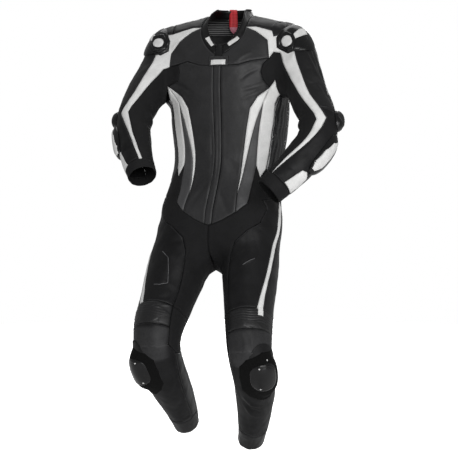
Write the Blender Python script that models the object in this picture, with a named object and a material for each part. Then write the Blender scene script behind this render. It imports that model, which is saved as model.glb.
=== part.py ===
"""One-piece leather race suit, hollow, in the bent-arm, bent-knee form it is cut to.

Metres, +Z up.  The front of the suit faces -Y and the wearer's left is +X.  The origin lies
between the shoulders, at the height of the shoulder seams, where a wearer's shoulders hold it.

The suit is worked out from ring tables: one for the trunk, one for each arm and one for each
leg, a row for each ring.  The rings are blended into one smooth form.  Seam lines, given as
(ring, angle) points on those tables, divide it into the pieces that are cut and sewn, and each
piece becomes a thin closed wall.  What lies on a piece uses that piece's own points, moved out.
"""
import math

import bmesh
import bpy
import numpy as np
from mathutils.geometry import delaunay_2d_cdt

MM = 0.001

# ---- driving dimensions -----------------------------------------------------------------
LEATHER = 2.0 * MM          # wall of the leather and textile pieces
TRIM = 1.2 * MM             # a strip or patch sewn on top
LINING = 1.0 * MM           # mesh lining behind the neck
SEAM_GAP = 0.3 * MM         # between neighbours, and under what lies on a piece
BLEND = 45 * MM             # how softly arms and legs run into the trunk
RING_STEPS = 12             # samples between two rows of a ring table
TRUNK_GRID = 36 * MM
LEG_GRID = 34 * MM
ARM_GRID = 30 * MM
NECK_GRID = 22 * MM

PLEATS, PLEAT_ROWS = 8, 9            # upright pleats of each side panel
PLEAT_ANGLES, PLEAT_RINGS = (-27, 24), (7.25, 9.9)
PLEAT_RISE = 3.0 * MM
KNEE_RIBS, KNEE_RIB_COLUMNS = 5, 8   # level ribs of each band above the knee
KNEE_RIB_RINGS, KNEE_RIB_ANGLES = (4.54, 5.16), (-44, 134)
KNEE_RIB_RISE = 3.0 * MM
RIB_CLEAR = 5 * MM                   # ribs stop this far from a seam

# ---- ring tables --------------------------------------------------------------------------
# trunk: height, centre x, centre y, half width, depth to the front, depth to the back
TRUNK_RINGS = [
    (0.030, 0.006, 0.036, 0.030, 0.030, 0.030),
    (0.020, 0.006, 0.034, 0.060, 0.050, 0.056),
    (0.010, 0.006, 0.031, 0.088, 0.062, 0.074),
    (-0.004, 0.005, 0.027, 0.134, 0.074, 0.090),
    (-0.026, 0.004, 0.021, 0.168, 0.086, 0.102),
    (-0.060, 0.004, 0.016, 0.184, 0.101, 0.112),
    (-0.120, 0.003, 0.010, 0.189, 0.122, 0.118),
    (-0.200, 0.004, 0.004, 0.183, 0.131, 0.120),
    (-0.310, 0.007, 0.000, 0.176, 0.127, 0.117),
    (-0.415, 0.008, -0.012, 0.165, 0.115, 0.112),
    (-0.500, 0.002, -0.030, 0.167, 0.120, 0.118),
    (-0.570, -0.006, -0.044, 0.173, 0.128, 0.128),
    (-0.640, -0.008, -0.052, 0.169, 0.124, 0.130),
    (-0.690, -0.006, -0.056, 0.125, 0.100, 0.110),
    (-0.718, -0.005, -0.058, 0.045, 0.050, 0.055),
]
TRUNK_POWER = 2.25          # 2 is an ellipse, more is squarer

# limbs: centre x, y, z, radius to the side, radius to the front
LEFT_ARM_RINGS = [
    (0.140, 0.020, -0.060, 0.054, 0.062),
    (0.199, 0.010, -0.079, 0.058, 0.064),
    (0.235, -0.035, -0.158, 0.060, 0.061),
    (0.274, -0.085, -0.235, 0.057, 0.057),
    (0.309, -0.125, -0.302, 0.056, 0.056),
    (0.308, -0.163, -0.365, 0.056, 0.054),
    (0.258, -0.206, -0.438, 0.051, 0.050),
    (0.196, -0.250, -0.505, 0.042, 0.042),
]
RIGHT_ARM_RINGS = [
    (-0.140, 0.020, -0.061, 0.054, 0.062),
    (-0.187, 0.012, -0.080, 0.058, 0.064),
    (-0.212, -0.035, -0.160, 0.060, 0.061),
    (-0.235, -0.095, -0.230, 0.056, 0.057),
    (-0.242, -0.148, -0.290, 0.053, 0.054),
    (-0.230, -0.195, -0.341, 0.050, 0.051),
    (-0.203, -0.247, -0.402, 0.046, 0.047),
    (-0.166, -0.296, -0.462, 0.041, 0.041),
]
LEFT_LEG_RINGS = [
    (0.060, -0.030, -0.460, 0.050, 0.060),
    (0.074, -0.050, -0.560, 0.085, 0.100),
    (0.088, -0.065, -0.650, 0.088, 0.103),
    (0.106, -0.125, -0.750, 0.082, 0.092),
    (0.122, -0.190, -0.840, 0.072, 0.081),
    (0.136, -0.240, -0.910, 0.067, 0.074),
    (0.144, -0.258, -0.960, 0.063, 0.068),
    (0.149, -0.240, -1.020, 0.060, 0.064),
    (0.141, -0.190, -1.090, 0.057, 0.060),
    (0.120, -0.130, -1.180, 0.047, 0.049),
    (0.096, -0.080, -1.258, 0.039, 0.040),
]
RIGHT_LEG_RINGS = [
    (-0.068, -0.030, -0.460, 0.050, 0.060),
    (-0.083, -0.050, -0.560, 0.084, 0.100),
    (-0.100, -0.065, -0.650, 0.092, 0.104),
    (-0.118, -0.130, -0.745, 0.089, 0.095),
    (-0.130, -0.195, -0.835, 0.078, 0.085),
    (-0.135, -0.250, -0.905, 0.072, 0.078),
    (-0.134, -0.267, -0.955, 0.068, 0.070),
    (-0.126, -0.250, -1.015, 0.065, 0.066),
    (-0.117, -0.200, -1.080, 0.060, 0.060),
    (-0.108, -0.140, -1.150, 0.049, 0.051),
    (-0.103, -0.090, -1.220, 0.037, 0.039),
]


# ---- curves and rings ---------------------------------------------------------------------
def smooth_rows(rows, steps):
    """Rows between the given rows, on a Catmull-Rom curve through each column."""
    rows = np.asarray(rows, float)
    ends = np.vstack([2 * rows[0] - rows[1], rows, 2 * rows[-1] - rows[-2]])
    out = []
    for i in range(len(rows) - 1):
        p0, p1, p2, p3 = ends[i:i + 4]
        for u in np.arange(steps) / steps:
            out.append(0.5 * (2 * p1 + (p2 - p0) * u + (2 * p0 - 5 * p1 + 4 * p2 - p3) * u ** 2
                              + (3 * p1 - p0 - 3 * p2 + p3) * u ** 3))
    return np.array(out + [rows[-1]])


class Rings:
    """Shared by trunk and limbs: a dense table over ring numbers."""

    def __init__(self, rows, mean_radius):
        self.table = smooth_rows(rows, RING_STEPS)
        self.ring = np.linspace(0, len(rows) - 1, len(self.table))
        self.radius = mean_radius

    def column(self, ring, values):
        """A table column at fractional ring numbers."""
        return np.interp(ring, self.ring, values)

    def girth(self, ring):
        """Mean radius of a ring."""
        return 0.5 * (self.column(ring, self.table[:, 3]) + self.column(ring, self.table[:, 4]))

    def flat(self, ring, angle):
        """Plane coordinates of chart points: girth across, length down."""
        return np.stack([np.radians(angle) * self.radius, np.interp(ring, self.ring, self.arc)], -1)

    def unflat(self, uv):
        """Ring number and angle of plane coordinates."""
        return np.interp(uv[:, 1], self.arc, self.ring), np.degrees(uv[:, 0] / self.radius)


class Trunk(Rings):
    """Level rings; angle 0 is the wearer's left, 90 the front, 180 the right, -90 the back."""

    def __init__(self, rows, power):
        super().__init__(rows, 0.165)
        self.power = power
        steps = np.diff(self.table[:, [0, 3]], axis=0)
        self.arc = np.concatenate([[0], np.cumsum(np.hypot(steps[:, 0], steps[:, 1]))])

    def sections(self, ring):
        return [self.column(ring, self.table[:, c]) for c in range(6)]

    def ring_at(self, z):
        """Ring number at a height."""
        return np.interp(-np.asarray(z), -self.table[:, 0], self.ring)

    def point(self, ring, angle):
        z, cx, cy, width, front, back = self.sections(ring)
        c, s = np.cos(np.radians(angle)), np.sin(np.radians(angle))
        depth = np.where(s > 0, front, back)
        rho = (np.abs(c / width) ** self.power + np.abs(s / depth) ** self.power) ** (-1 / self.power)
        return np.stack([cx + rho * c, cy - rho * s, z], -1)

    def distance(self, p):
        ring = self.ring_at(p[:, 2])
        z, cx, cy, width, front, back = self.sections(ring)
        u, v = p[:, 0] - cx, cy - p[:, 1]
        depth = np.where(v > 0, front, back)
        rho = (np.abs(u / width) ** self.power + np.abs(v / depth) ** self.power) ** (1 / self.power)
        reach = np.hypot(u, v)
        side = np.where(rho > 0.15, reach * (1 - 1 / np.maximum(rho, 0.15)), -width * (1 - rho))
        beyond = np.abs(p[:, 2] - z)
        return np.where(beyond > 0, np.hypot(np.maximum(side, 0), beyond) + np.minimum(side, 0), side)

    def locate(self, p):
        ring = self.ring_at(p[:, 2])
        z, cx, cy = self.sections(ring)[:3]
        return ring, np.degrees(np.arctan2(cy - p[:, 1], p[:, 0] - cx))


class Limb(Rings):
    """Rings across a bent axis; angle 0 is the outer side, 90 the front, 180 the inner side."""

    def __init__(self, rows, mean_radius, side):
        super().__init__(rows, mean_radius)
        self.side = side
        axis = self.table[:, :3]
        self.arc = np.concatenate([[0], np.cumsum(np.linalg.norm(np.diff(axis, axis=0), axis=1))])
        along = np.gradient(axis, axis=0)
        along /= np.linalg.norm(along, axis=1, keepdims=True)
        outward = np.array([side, 0.0, 0.0]) - along * (along[:, :1] * side)
        self.out = outward / np.linalg.norm(outward, axis=1, keepdims=True)
        self.front = side * np.cross(along, self.out)

    def vectors(self, ring, values):
        return np.stack([self.column(ring, values[:, c]) for c in range(3)], -1)

    def frame(self, ring):
        out, front = self.vectors(ring, self.out), self.vectors(ring, self.front)
        out /= np.linalg.norm(out, axis=1, keepdims=True)
        front /= np.linalg.norm(front, axis=1, keepdims=True)
        return self.vectors(ring, self.table), out, front

    def point(self, ring, angle):
        ring, angle = np.atleast_1d(np.asarray(ring, float)), np.atleast_1d(np.asarray(angle, float))
        centre, out, front = self.frame(ring)
        c, s = np.cos(np.radians(angle)), np.sin(np.radians(angle))
        side, fore = self.column(ring, self.table[:, 3]), self.column(ring, self.table[:, 4])
        return centre + (side * c)[:, None] * out + (fore * s)[:, None] * front

    def nearest(self, p):
        """Ring number of the nearest point of the axis."""
        a, b = self.table[:-1, :3], self.table[1:, :3]
        run = b - a
        size = (run ** 2).sum(1)
        rel = p[:, None, :] - a[None]
        u = np.clip((rel * run).sum(2) / size, 0, 1)
        gap = ((rel - u[..., None] * run) ** 2).sum(2)
        best = gap.argmin(1)
        pick = u[np.arange(len(p)), best]
        return self.ring[best] + pick * (self.ring[1] - self.ring[0])

    def local(self, p):
        ring = self.nearest(p)
        centre, out, front = self.frame(ring)
        rel = p - centre
        u, v = (rel * out).sum(1), (rel * front).sum(1)
        rest = rel - u[:, None] * out - v[:, None] * front
        return ring, u, v, np.linalg.norm(rest, axis=1)

    def distance(self, p):
        ring, u, v, w = self.local(p)
        side, fore = self.column(ring, self.table[:, 3]), self.column(ring, self.table[:, 4])
        rho = np.sqrt((u / side) ** 2 + (v / fore) ** 2 + (w / side) ** 2)
        reach = np.sqrt(u ** 2 + v ** 2 + w ** 2)
        return np.where(rho > 0.15, reach * (1 - 1 / np.maximum(rho, 0.15)), -side * (1 - rho))

    def locate(self, p):
        ring, u, v, _ = self.local(p)
        side, fore = self.column(ring, self.table[:, 3]), self.column(ring, self.table[:, 4])
        return ring, np.degrees(np.arctan2(v / fore, u / side))


TRUNK = Trunk(TRUNK_RINGS, TRUNK_POWER)
ARMS = {"left": Limb(LEFT_ARM_RINGS, 0.055, 1), "right": Limb(RIGHT_ARM_RINGS, 0.055, -1)}
LEGS = {"left": Limb(LEFT_LEG_RINGS, 0.075, 1), "right": Limb(RIGHT_LEG_RINGS, 0.075, -1)}


def blend_min(a, b, reach):
    """The smaller of two distances, rounded where they meet."""
    h = np.clip(0.5 + 0.5 * (b - a) / reach, 0, 1)
    return b * (1 - h) + a * h - reach * h * (1 - h)


CHARTS = {"trunk": TRUNK, "arm_left": ARMS["left"], "arm_right": ARMS["right"],
          "leg_left": LEGS["left"], "leg_right": LEGS["right"]}

# large soft folds: chart, ring and angle of one end, ring and angle of the other,
# rise in mm (minus is a trough), half width in mm
FOLDS = [
    ("trunk", 9.3, 70, 10.3, 40, -4.0, 20),
    ("trunk", 9.6, 112, 10.4, 140, -4.0, 20),
    ("trunk", 9.0, -60, 9.5, -125, -4.0, 22),
    ("trunk", 6.5, 52, 7.1, 32, -3.5, 18),
    ("trunk", 6.6, 128, 7.1, 146, -3.5, 18),
    ("trunk", 10.6, -70, 10.6, -112, 3.5, 24),
    ("arm_left", 3.7, 150, 4.1, 225, -5.0, 20),
    ("arm_left", 4.3, 150, 4.5, 225, 4.0, 16),
    ("arm_left", 4.8, 150, 4.6, 220, -4.5, 18),
    ("arm_right", 3.6, 150, 4.0, 225, -5.0, 20),
    ("arm_right", 4.2, 150, 4.4, 225, 4.0, 16),
    ("arm_right", 4.8, 150, 4.6, 220, -4.5, 18),
    ("leg_left", 2.2, 118, 2.7, 75, -3.5, 20),
    ("leg_right", 2.2, 118, 2.7, 75, -3.5, 20),
    ("leg_left", 4.9, -150, 5.1, -60, -5.0, 22),
    ("leg_left", 5.6, -150, 5.6, -60, 4.5, 18),
    ("leg_left", 6.2, -150, 6.1, -60, -4.5, 20),
    ("leg_right", 4.9, -150, 5.1, -60, -4.0, 24),
    ("leg_right", 5.6, -150, 5.6, -60, 3.5, 22),
    ("leg_right", 6.2, -150, 6.1, -60, -2.5, 28),
]


def fold_lines():
    """Ends in space, rise and half width of each fold."""
    lines = []
    for chart, ring0, angle0, ring1, angle1, rise, width in FOLDS:
        ends = CHARTS[chart].point(np.array([ring0, ring1], float), np.array([angle0, angle1], float))
        lines.append((ends[0], ends[1] - ends[0], rise * MM, width * MM))
    return lines


FOLD_LINES = fold_lines()


def form(p):
    """Signed distance, roughly, to the suit's outer surface."""
    d = TRUNK.distance(p)
    for limb in (*ARMS.values(), *LEGS.values()):
        d = blend_min(d, limb.distance(p), BLEND)
    for start, run, rise, width in FOLD_LINES:
        rel = p - start
        along = np.clip(rel @ run / (run @ run), 0, 1)
        gap = ((rel - along[:, None] * run) ** 2).sum(1)
        d = d - rise * np.exp(-gap / width ** 2)
    return d


def slope(p):
    """Gradient of the form."""
    step = 0.2 * MM
    return np.stack([(form(p + e) - form(p - e)) / (2 * step) for e in np.eye(3) * step], -1)


def settle(p, rounds=6):
    """Move points onto the outer surface along the form's gradient."""
    p = np.array(p, float)
    for _ in range(rounds):
        g = slope(p)
        p -= g * (form(p) / np.maximum((g ** 2).sum(1), 0.2))[:, None]
    return p


# ==== sewing ===============================================================================
# The neck seam runs round the trunk; the hip seam parts trunk from legs.  Angle, ring number.
NECK_SEAM = [(-90, 1.5), (-45, 1.4), (0, 1.3), (22, 1.6), (36, 2.3), (44, 3.2), (48.5, 3.9), (54, 4.6),
             (65, 5.25), (78, 5.66), (84.5, 5.78)]
ZIP_TOP = [(86.5, 5.4), (90, 5.35), (93.5, 5.4)]
CENTRE_BACK = [1.5, 2.4, 4.0, 6.45, 8.5, 10.60]    # rings of points kept on the trunk's back line
HIP_SEAM = [(-90, 10.60), (-60, 10.52), (-30, 10.48), (0, 10.45), (30, 10.50), (45, 10.65), (56, 11.0),
            (72, 11.3), (85.5, 11.48), (90, 11.50)]
ARMHOLES = {"left": ((0.183, 0.012, -0.085), (0.95, -0.30, 0.10)),     # centre, plane normal
            "right": ((-0.183, 0.012, -0.085), (-0.95, -0.30, 0.10))}
ARMHOLE_ANGLES = [-100, -78, -56, -34, -12, 10, 32, 54, 76, 98, 118, 137, 154, 170, 188, 208, 232]
SLEEVE_RINGS = [2.0, 3.0, 3.9, 4.8, 5.7, 6.62, 7.0]     # points kept on the sleeve's back seam
PELVIS = (-0.010, -0.056, -0.600)       # middle of the hips, from which the centre seam is found
CROTCH = (-0.006, -0.080, -0.722)       # near the point where the inseams start
INSEAM = [(4.0, -166), (4.5, -170), (5.5, -174), (6.5, -176), (7.3, -177), (8.3, -178), (9.3, -179),
          (10.0, -180)]

# seams: (ring, angle) points on a chart.  The trunk's are for the wearer's left and mirrored.
TRUNK_SEAMS = {
    "zip_edge": [(5.78, 84.5), (6.25, 85.0), (8.0, 85.0), (10.0, 85.0), (11.9, 85.5)],
    "yoke": [(6.25, 85.0), (6.24, 64), (6.08, 48), (5.97, 30)],
    "stripe_top": [(3.7, 47), (3.9, 36), (4.05, 20), (4.2, 0)],
    "stripe_low": [(3.7, 47), (4.4, 38), (5.1, 29), (5.97, 30)],
    "gusset": [(5.97, 30), (6.2, 36), (6.5, 38.5), (6.8, 36), (7.05, 29)],
    "stripe_foot": [(5.97, 30), (5.9, 22), (5.8, 10)],
    "gusset_low": [(7.05, 29), (7.1, 21), (7.05, 8)],
    "front_stripe_in": [(7.05, 29), (7.3, 42), (7.6, 50), (8.05, 53), (8.8, 55), (10.2, 57)],
    "front_stripe_out": [(7.05, 29), (7.45, 36), (7.9, 43), (8.4, 47.5), (9.0, 51), (10.2, 57)],
    "front_stripe_tail": [(10.2, 57), (11.0, 56)],
    "side_stripe_in": [(7.05, 29), (7.5, 35.5), (8.0, 39), (8.6, 39.5), (9.2, 38.5)],
    "side_stripe_out": [(7.1, 21), (7.5, 23), (8.35, 25), (8.9, 25.5), (9.3, 27)],
    "side_stripe_tip": [(9.2, 38.5), (9.6, 33), (9.3, 27)],
    "hip_side": [(9.2, 38.5), (10.2, 43), (10.65, 48), (11.0, 56)],
    "pleat_low": [(9.3, 27), (9.75, 18), (10.0, 0), (10.0, -28)],
    "back_side": [(6.4, -10), (6.95, -22), (8.0, -28), (10.0, -28), (10.5, -30)],
    "shoulder": [(1.3, -8), (3.0, -8), (4.2, -8)],
    "back_yoke": [(6.2, -10), (6.3, -22), (6.4, -50), (6.45, -90)],
}
TRUNK_PIECES = {            # one point inside each region; left ones are mirrored
    "yoke_front": (5.9, 60), "stripe_arm": (4.6, 26), "front": (8.0, 70), "sleeve_inner": (6.4, 30),
    "stripe_front": (7.8, 46.5), "flank": (9.2, 46), "stripe_side": (8.2, 32),
    "side_stretch": (8.5, 0), "hip_stretch": (10.3, 30),
}
MIDDLE_PIECES = [("zip", 8.0, 90), ("back", 8.0, -60), ("back", 8.0, 240), ("back_yoke", 4.0, -60),
                 ("back_yoke", 4.0, 240), ("back_yoke", 3.0, 10), ("back_yoke", 3.0, 170)]
ARM_SEAMS = {
    "stripe_out": [(0.3, 70), (0.9, 84), (1.7, 89), (2.4, 90), (3.3, 86), (3.9, 72), (4.3, 54), (4.7, 66),
                   (5.25, 81), (6.2, 101), (6.62, 108)],
    "stripe_in": [(0.6, 118), (1.2, 130), (2.1, 130), (3.1, 116), (3.8, 102), (4.4, 84), (4.9, 92),
                  (5.4, 98), (6.1, 110), (6.62, 108)],
    "elbow": [(3.9, -106), (3.95, 0), (3.9, 72)],
    "cuff": [(6.62, -106), (6.62, 0), (6.62, 108), (6.62, 180), (6.62, 266)],
}
ARM_PIECES = {
    "sleeve_outer": (2.5, 0), "stripe_arm": (2.5, 108), "sleeve_inner": (3.0, 180),
    "forearm_outer": (5.5, 0), "cuff": (6.85, 30),
}
LEG_SEAMS = {
    "thigh_front": [(0.6, 20), (1.2, 36), (1.7, 52), (2.2, 80), (2.5, 106), (2.8, 118), (3.25, 127), (3.9, 134),
                    (4.5, 134)],
    "thigh_back": [(0.3, -58), (1.6, -58), (3.0, -58), (4.5, -52)],
    "thigh_stripe_front": [(0.3, 0), (1.2, 4), (1.8, 11), (2.6, 26), (3.6, 41), (4.5, 56)],
    "thigh_stripe_back": [(0.3, -12), (1.2, -9), (1.8, 0), (2.6, 16), (3.6, 31), (4.5, 40)],
    "knee_top": [(4.5, -176), (4.5, -100), (4.5, -52), (4.5, 0), (4.5, 60), (4.5, 134), (4.5, 160), (4.5, 195)],
    "knee_mid": [(5.2, -40), (5.2, 40), (5.2, 138)],
    "knee_low": [(5.9, -40), (5.9, 40), (5.9, 140)],
    "knee_back_out": [(4.5, -52), (5.2, -40), (5.9, -40), (6.3, -70), (6.5, -120), (6.5, -182)],
    "knee_back_in": [(4.5, 134), (5.2, 138), (5.9, 140), (6.3, 160), (6.5, 190)],
    "calf_out": [(6.3, -70), (8.0, -70), (9.3, -70)],
    "calf_in": [(6.3, 160), (8.0, 150), (9.3, 150)],
    "calf_zip": [(7.3, -182), (7.32, -166), (8.3, -166), (9.3, -167), (10.2, -168)],
    "hem": [(9.3, -167), (9.3, -70), (9.3, 40), (9.3, 150), (9.3, 186)],
}
LEG_PIECES = {
    "hip_stretch": (2.9, 141), "thigh": (3.2, 85), "stripe_thigh": (3.7, 38), "thigh_side": (3.2, -20),
    "seat": (3.0, -110), "knee_stretch": (4.85, 60), "shin.": (5.5, 60), "knee_back": (5.4, -120),
    "knee_back.": (5.3, 160), "shin": (7.5, 40), "calf": (7.5, -120), "calf.": (7.8, 165),
    "calf..": (8.6, -173), "hem": (9.6, 40),
}


class Net:
    """Points of the whole suit, shared by every piece that meets there."""

    def __init__(self):
        self.points, self.index = [], {}
        self.pieces = {}
        self.rise = {}              # point number: height of the rib it stands on

    def add(self, point):
        key = tuple(np.round(np.asarray(point) / (0.001 * MM)).astype(int))
        if key not in self.index:
            self.index[key] = len(self.points)
            self.points.append(np.array(point, float))
        return self.index[key]

    def settle_all(self):
        """Outward unit direction at every point: the mean of the triangles round it."""
        self.points = np.array(self.points)
        out = slope(self.points)
        total = out * (0.01 * MM ** 2)
        for f in (list(f) for faces in self.pieces.values() for f in faces):
            a, b, c = self.points[f]
            normal = np.cross(b - a, c - a)
            total[f] += normal * np.sign(normal @ out[f].sum(0))
        self.normals = total / np.linalg.norm(total, axis=1, keepdims=True)


def curve_points(flat_points, grid):
    """A smooth curve through plane points, with every given point kept."""
    if len(flat_points) == 2:
        dense = np.linspace(flat_points[0], flat_points[1], 17)
        stops = [0, 16]
    else:
        dense = smooth_rows(flat_points, 16)
        stops = list(range(0, len(dense), 16))
    out = []
    for a, b in zip(stops[:-1], stops[1:]):
        part = dense[a:b + 1]
        length = np.concatenate([[0], np.cumsum(np.linalg.norm(np.diff(part, axis=0), axis=1))])
        count = max(1, int(round(length[-1] / grid)))
        at = np.linspace(0, length[-1], count + 1)[:-1]
        out += [np.array([np.interp(t, length, part[:, 0]), np.interp(t, length, part[:, 1])]) for t in at]
    return out + [np.asarray(flat_points[-1], float)]


def inside(points, loop):
    """Even-odd test of plane points against a closed loop."""
    x, y = points[:, 0:1], points[:, 1:2]
    x0, y0 = loop[:, 0], loop[:, 1]
    x1, y1 = np.roll(x0, -1), np.roll(y0, -1)
    crosses = ((y0 > y) != (y1 > y)) & (x < (x1 - x0) * (y - y0) / (y1 - y0 + 1e-15) + x0)
    return crosses.sum(1) % 2 == 1


def gap_to_edges(points, starts, ends):
    """Distance of each plane point from the nearest edge."""
    run = ends - starts
    rel = points[:, None] - starts[None]
    u = np.clip((rel * run).sum(2) / np.maximum((run ** 2).sum(1), 1e-12), 0, 1)
    return np.linalg.norm(rel - u[..., None] * run, axis=2).min(1)




class Layout:
    """One chart's seams in the plane, cut into pieces of cloth."""

    def __init__(self, net, chart, grid):
        self.net, self.chart, self.grid = net, chart, grid
        self.verts, self.numbers, self.edges, self.loops = [], [], [], []

    def loop(self, numbers, ring, angle):
        """A closed boundary through points of the net: the rim, or a hole."""
        start = len(self.verts)
        flat = self.chart.flat(np.asarray(ring, float), np.asarray(angle, float))
        self.verts += list(flat)
        self.numbers += list(numbers)
        count = len(numbers)
        self.edges += [(start + i, start + (i + 1) % count) for i in range(count)]
        self.loops.append(flat)
        self.rim = len(self.verts)

    def seam(self, points):
        """A seam through (ring, angle) points; its ends join what they reach."""
        ring, angle = np.array(points, float).T
        flat = np.array(curve_points(self.chart.flat(ring, angle), self.grid))
        keep = inside(flat, self.loops[0])
        for hole in self.loops[1:]:
            keep &= ~inside(flat, hole)
        near_rim = gap_to_edges(flat, *self.rim_edges()) < 0.25 * self.grid
        keep &= ~near_rim
        keep[0] |= keep[1] and not near_rim[0]
        flat_in = flat[keep]
        if len(flat_in) == 0:
            return
        first, last = np.flatnonzero(keep)[[0, -1]]
        chain = [self.join(q, False) for q in flat_in]
        if first > 0 or near_rim[0]:
            chain.insert(0, self.join(0.5 * (flat[max(first - 1, 0)] + flat[first]), True))
        if last < len(flat) - 1:
            chain.append(self.join(0.5 * (flat[last] + flat[last + 1]), True))
        self.edges += [(a, b) for a, b in zip(chain[:-1], chain[1:]) if a != b]

    def rim_edges(self):
        starts, ends = [], []
        for loop in self.loops:
            starts.append(loop)
            ends.append(np.roll(loop, -1, axis=0))
        return np.vstack(starts), np.vstack(ends)

    def join(self, q, to_rim):
        """Number of the vertex at q, of one already there, or of the nearest rim vertex."""
        verts = np.array(self.verts[:self.rim] if to_rim else self.verts)
        gap = np.linalg.norm(verts - q, axis=1)
        best = int(gap.argmin())
        if to_rim or gap[best] < 0.2 * self.grid:
            return best
        self.verts.append(np.asarray(q, float))
        self.numbers.append(None)
        return len(self.verts) - 1

    def lattice(self):
        """Inner points on staggered rows, spaced evenly on the cloth itself."""
        rim = self.loops[0]
        rows, out = np.arange(rim[:, 1].min(), rim[:, 1].max(), self.grid * 0.87), []
        for i, v in enumerate(rows):
            ring, _ = self.chart.unflat(np.array([[0.0, v]]))
            girth = self.chart.girth(ring)[0]
            step = self.grid * self.chart.radius / girth
            across = np.arange(rim[:, 0].min() + (i % 2) * step / 2, rim[:, 0].max(), step)
            out += [(u, v) for u in across]
        points = np.array(out)
        keep = inside(points, self.loops[0])
        for hole in self.loops[1:]:
            keep &= ~inside(points, hole)
        points = points[keep]
        starts = np.array([self.verts[a] for a, b in self.edges])
        ends = np.array([self.verts[b] for a, b in self.edges])
        points = points[gap_to_edges(points, starts, ends) > 0.5 * self.grid]
        return points

    def triangulate(self, extra):
        verts = [tuple(v) for v in self.verts] + [tuple(v) for v in extra]
        result = delaunay_2d_cdt(verts, self.edges, [], 0, 1e-7)
        return [np.array([tuple(v) for v in result[0]]), result[1], result[2], result[3], result[4]]

    def regions(self, result):
        """Label triangles that no seam parts."""
        flat, edges, faces, _, origins = result
        fence = {tuple(sorted(e)) for e, o in zip(edges, origins) if len(o)}
        beside = {}
        for f, tri in enumerate(faces):
            for i in range(3):
                beside.setdefault(tuple(sorted((tri[i], tri[(i + 1) % 3]))), []).append(f)
        label = [-1] * len(faces)
        count = 0
        for f in range(len(faces)):
            if label[f] >= 0:
                continue
            stack, label[f] = [f], count
            while stack:
                g = stack.pop()
                tri = faces[g]
                for i in range(3):
                    key = tuple(sorted((tri[i], tri[(i + 1) % 3])))
                    if key in fence:
                        continue
                    for h in beside[key]:
                        if label[h] < 0:
                            label[h] = count
                            stack.append(h)
            count += 1
        return label

    def find(self, result, label, ring, angle):
        """Label of the region that holds a chart point."""
        q = self.chart.flat(np.array([ring], float), np.array([angle], float))[0]
        flat, faces = result[0], np.array([list(f) for f in result[2]])
        a, b, c = flat[faces[:, 0]], flat[faces[:, 1]], flat[faces[:, 2]]

        def side(p0, p1):
            return (p1[:, 0] - p0[:, 0]) * (q[1] - p0[:, 1]) - (p1[:, 1] - p0[:, 1]) * (q[0] - p0[:, 0])
        s = np.stack([side(a, b), side(b, c), side(c, a)])
        hit = np.flatnonzero((s > -1e-12).all(0) | (s < 1e-12).all(0))
        return label[hit[0]] if len(hit) else -1

    def cut(self, pieces, ribs=()):
        """Pieces by name from points inside them; ribs raise a piece's outer side."""
        extra = self.lattice()
        rise = np.zeros(len(extra))
        result = self.triangulate(extra)
        label = self.regions(result)
        names = {}
        for name, ring, angle in pieces:
            names[self.find(result, label, ring, angle)] = name
        for name, rib_points in ribs:
            wanted = {k for k, v in names.items() if v == name}
            extra, rise = self.swap_points(extra, rise, result, label, wanted, rib_points)
        if ribs:
            result = self.triangulate(extra)
            label = self.regions(result)
            names = {self.find(result, label, ring, angle): name for name, ring, angle in pieces}
        flat, _, faces, origins, _ = result
        ring, angle = self.chart.unflat(flat)
        place = settle(self.chart.point(ring, angle))
        number = []
        for i, source in enumerate(origins):
            known = [self.numbers[j] for j in source if j < len(self.numbers) and self.numbers[j] is not None]
            number.append(known[0] if known else None)
            lifted = [rise[j - len(self.verts)] for j in source if j >= len(self.verts)]
            if lifted and lifted[0] > 0:
                number[-1] = self.net.add(place[i])
                self.net.rise[number[-1]] = lifted[0]
        outer = self.loops[0]
        centre = flat[np.array([list(f) for f in faces])].mean(1)
        within = inside(centre, outer)
        for hole in self.loops[1:]:
            within &= ~inside(centre, hole)
        for f, tri in enumerate(faces):
            if not within[f]:
                continue
            ids = []
            for v in tri:
                if number[v] is None:
                    number[v] = self.net.add(place[v])
                ids.append(number[v])
            if len(set(ids)) == 3:
                self.net.pieces.setdefault(names[label[f]], []).append(tuple(ids))

    def swap_points(self, extra, rise, result, label, wanted, rib_points):
        """Put a piece's rib lattice in place of its own inner points."""
        faces = [f for f, k in zip(result[2], label) if k in wanted]
        starts = np.array([self.verts[a] for a, b in self.edges])
        ends = np.array([self.verts[b] for a, b in self.edges])

        def within(points):
            hit = np.zeros(len(points), bool)
            for tri in faces:
                a, b, c = (result[0][v] for v in tri)
                s = [(q1[0] - q0[0]) * (points[:, 1] - q0[1]) - (q1[1] - q0[1]) * (points[:, 0] - q0[0])
                     for q0, q1 in ((a, b), (b, c), (c, a))]
                hit |= (s[0] > 0) & (s[1] > 0) & (s[2] > 0)
            return hit
        outside = ~within(extra)
        ring, angle, height = np.array(rib_points, float).T
        new = self.chart.flat(ring, angle)
        keep = within(new) & (gap_to_edges(new, starts, ends) > RIB_CLEAR)
        return np.vstack([extra[outside], new[keep]]), np.concatenate([rise[outside], height[keep]])


def keep_points(chart, pairs, grid):
    """(ring, angle) samples along a line of (angle, ring) pairs."""
    angle, ring = np.array(pairs, float).T
    return chart.unflat(np.array(curve_points(chart.flat(ring, angle), grid)))


def mirrored(ring, angle):
    """A line from the back to the front, carried on round the other side."""
    return np.concatenate([ring, ring[-2::-1]]), np.concatenate([angle, 180 - angle[-2::-1]])


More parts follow.
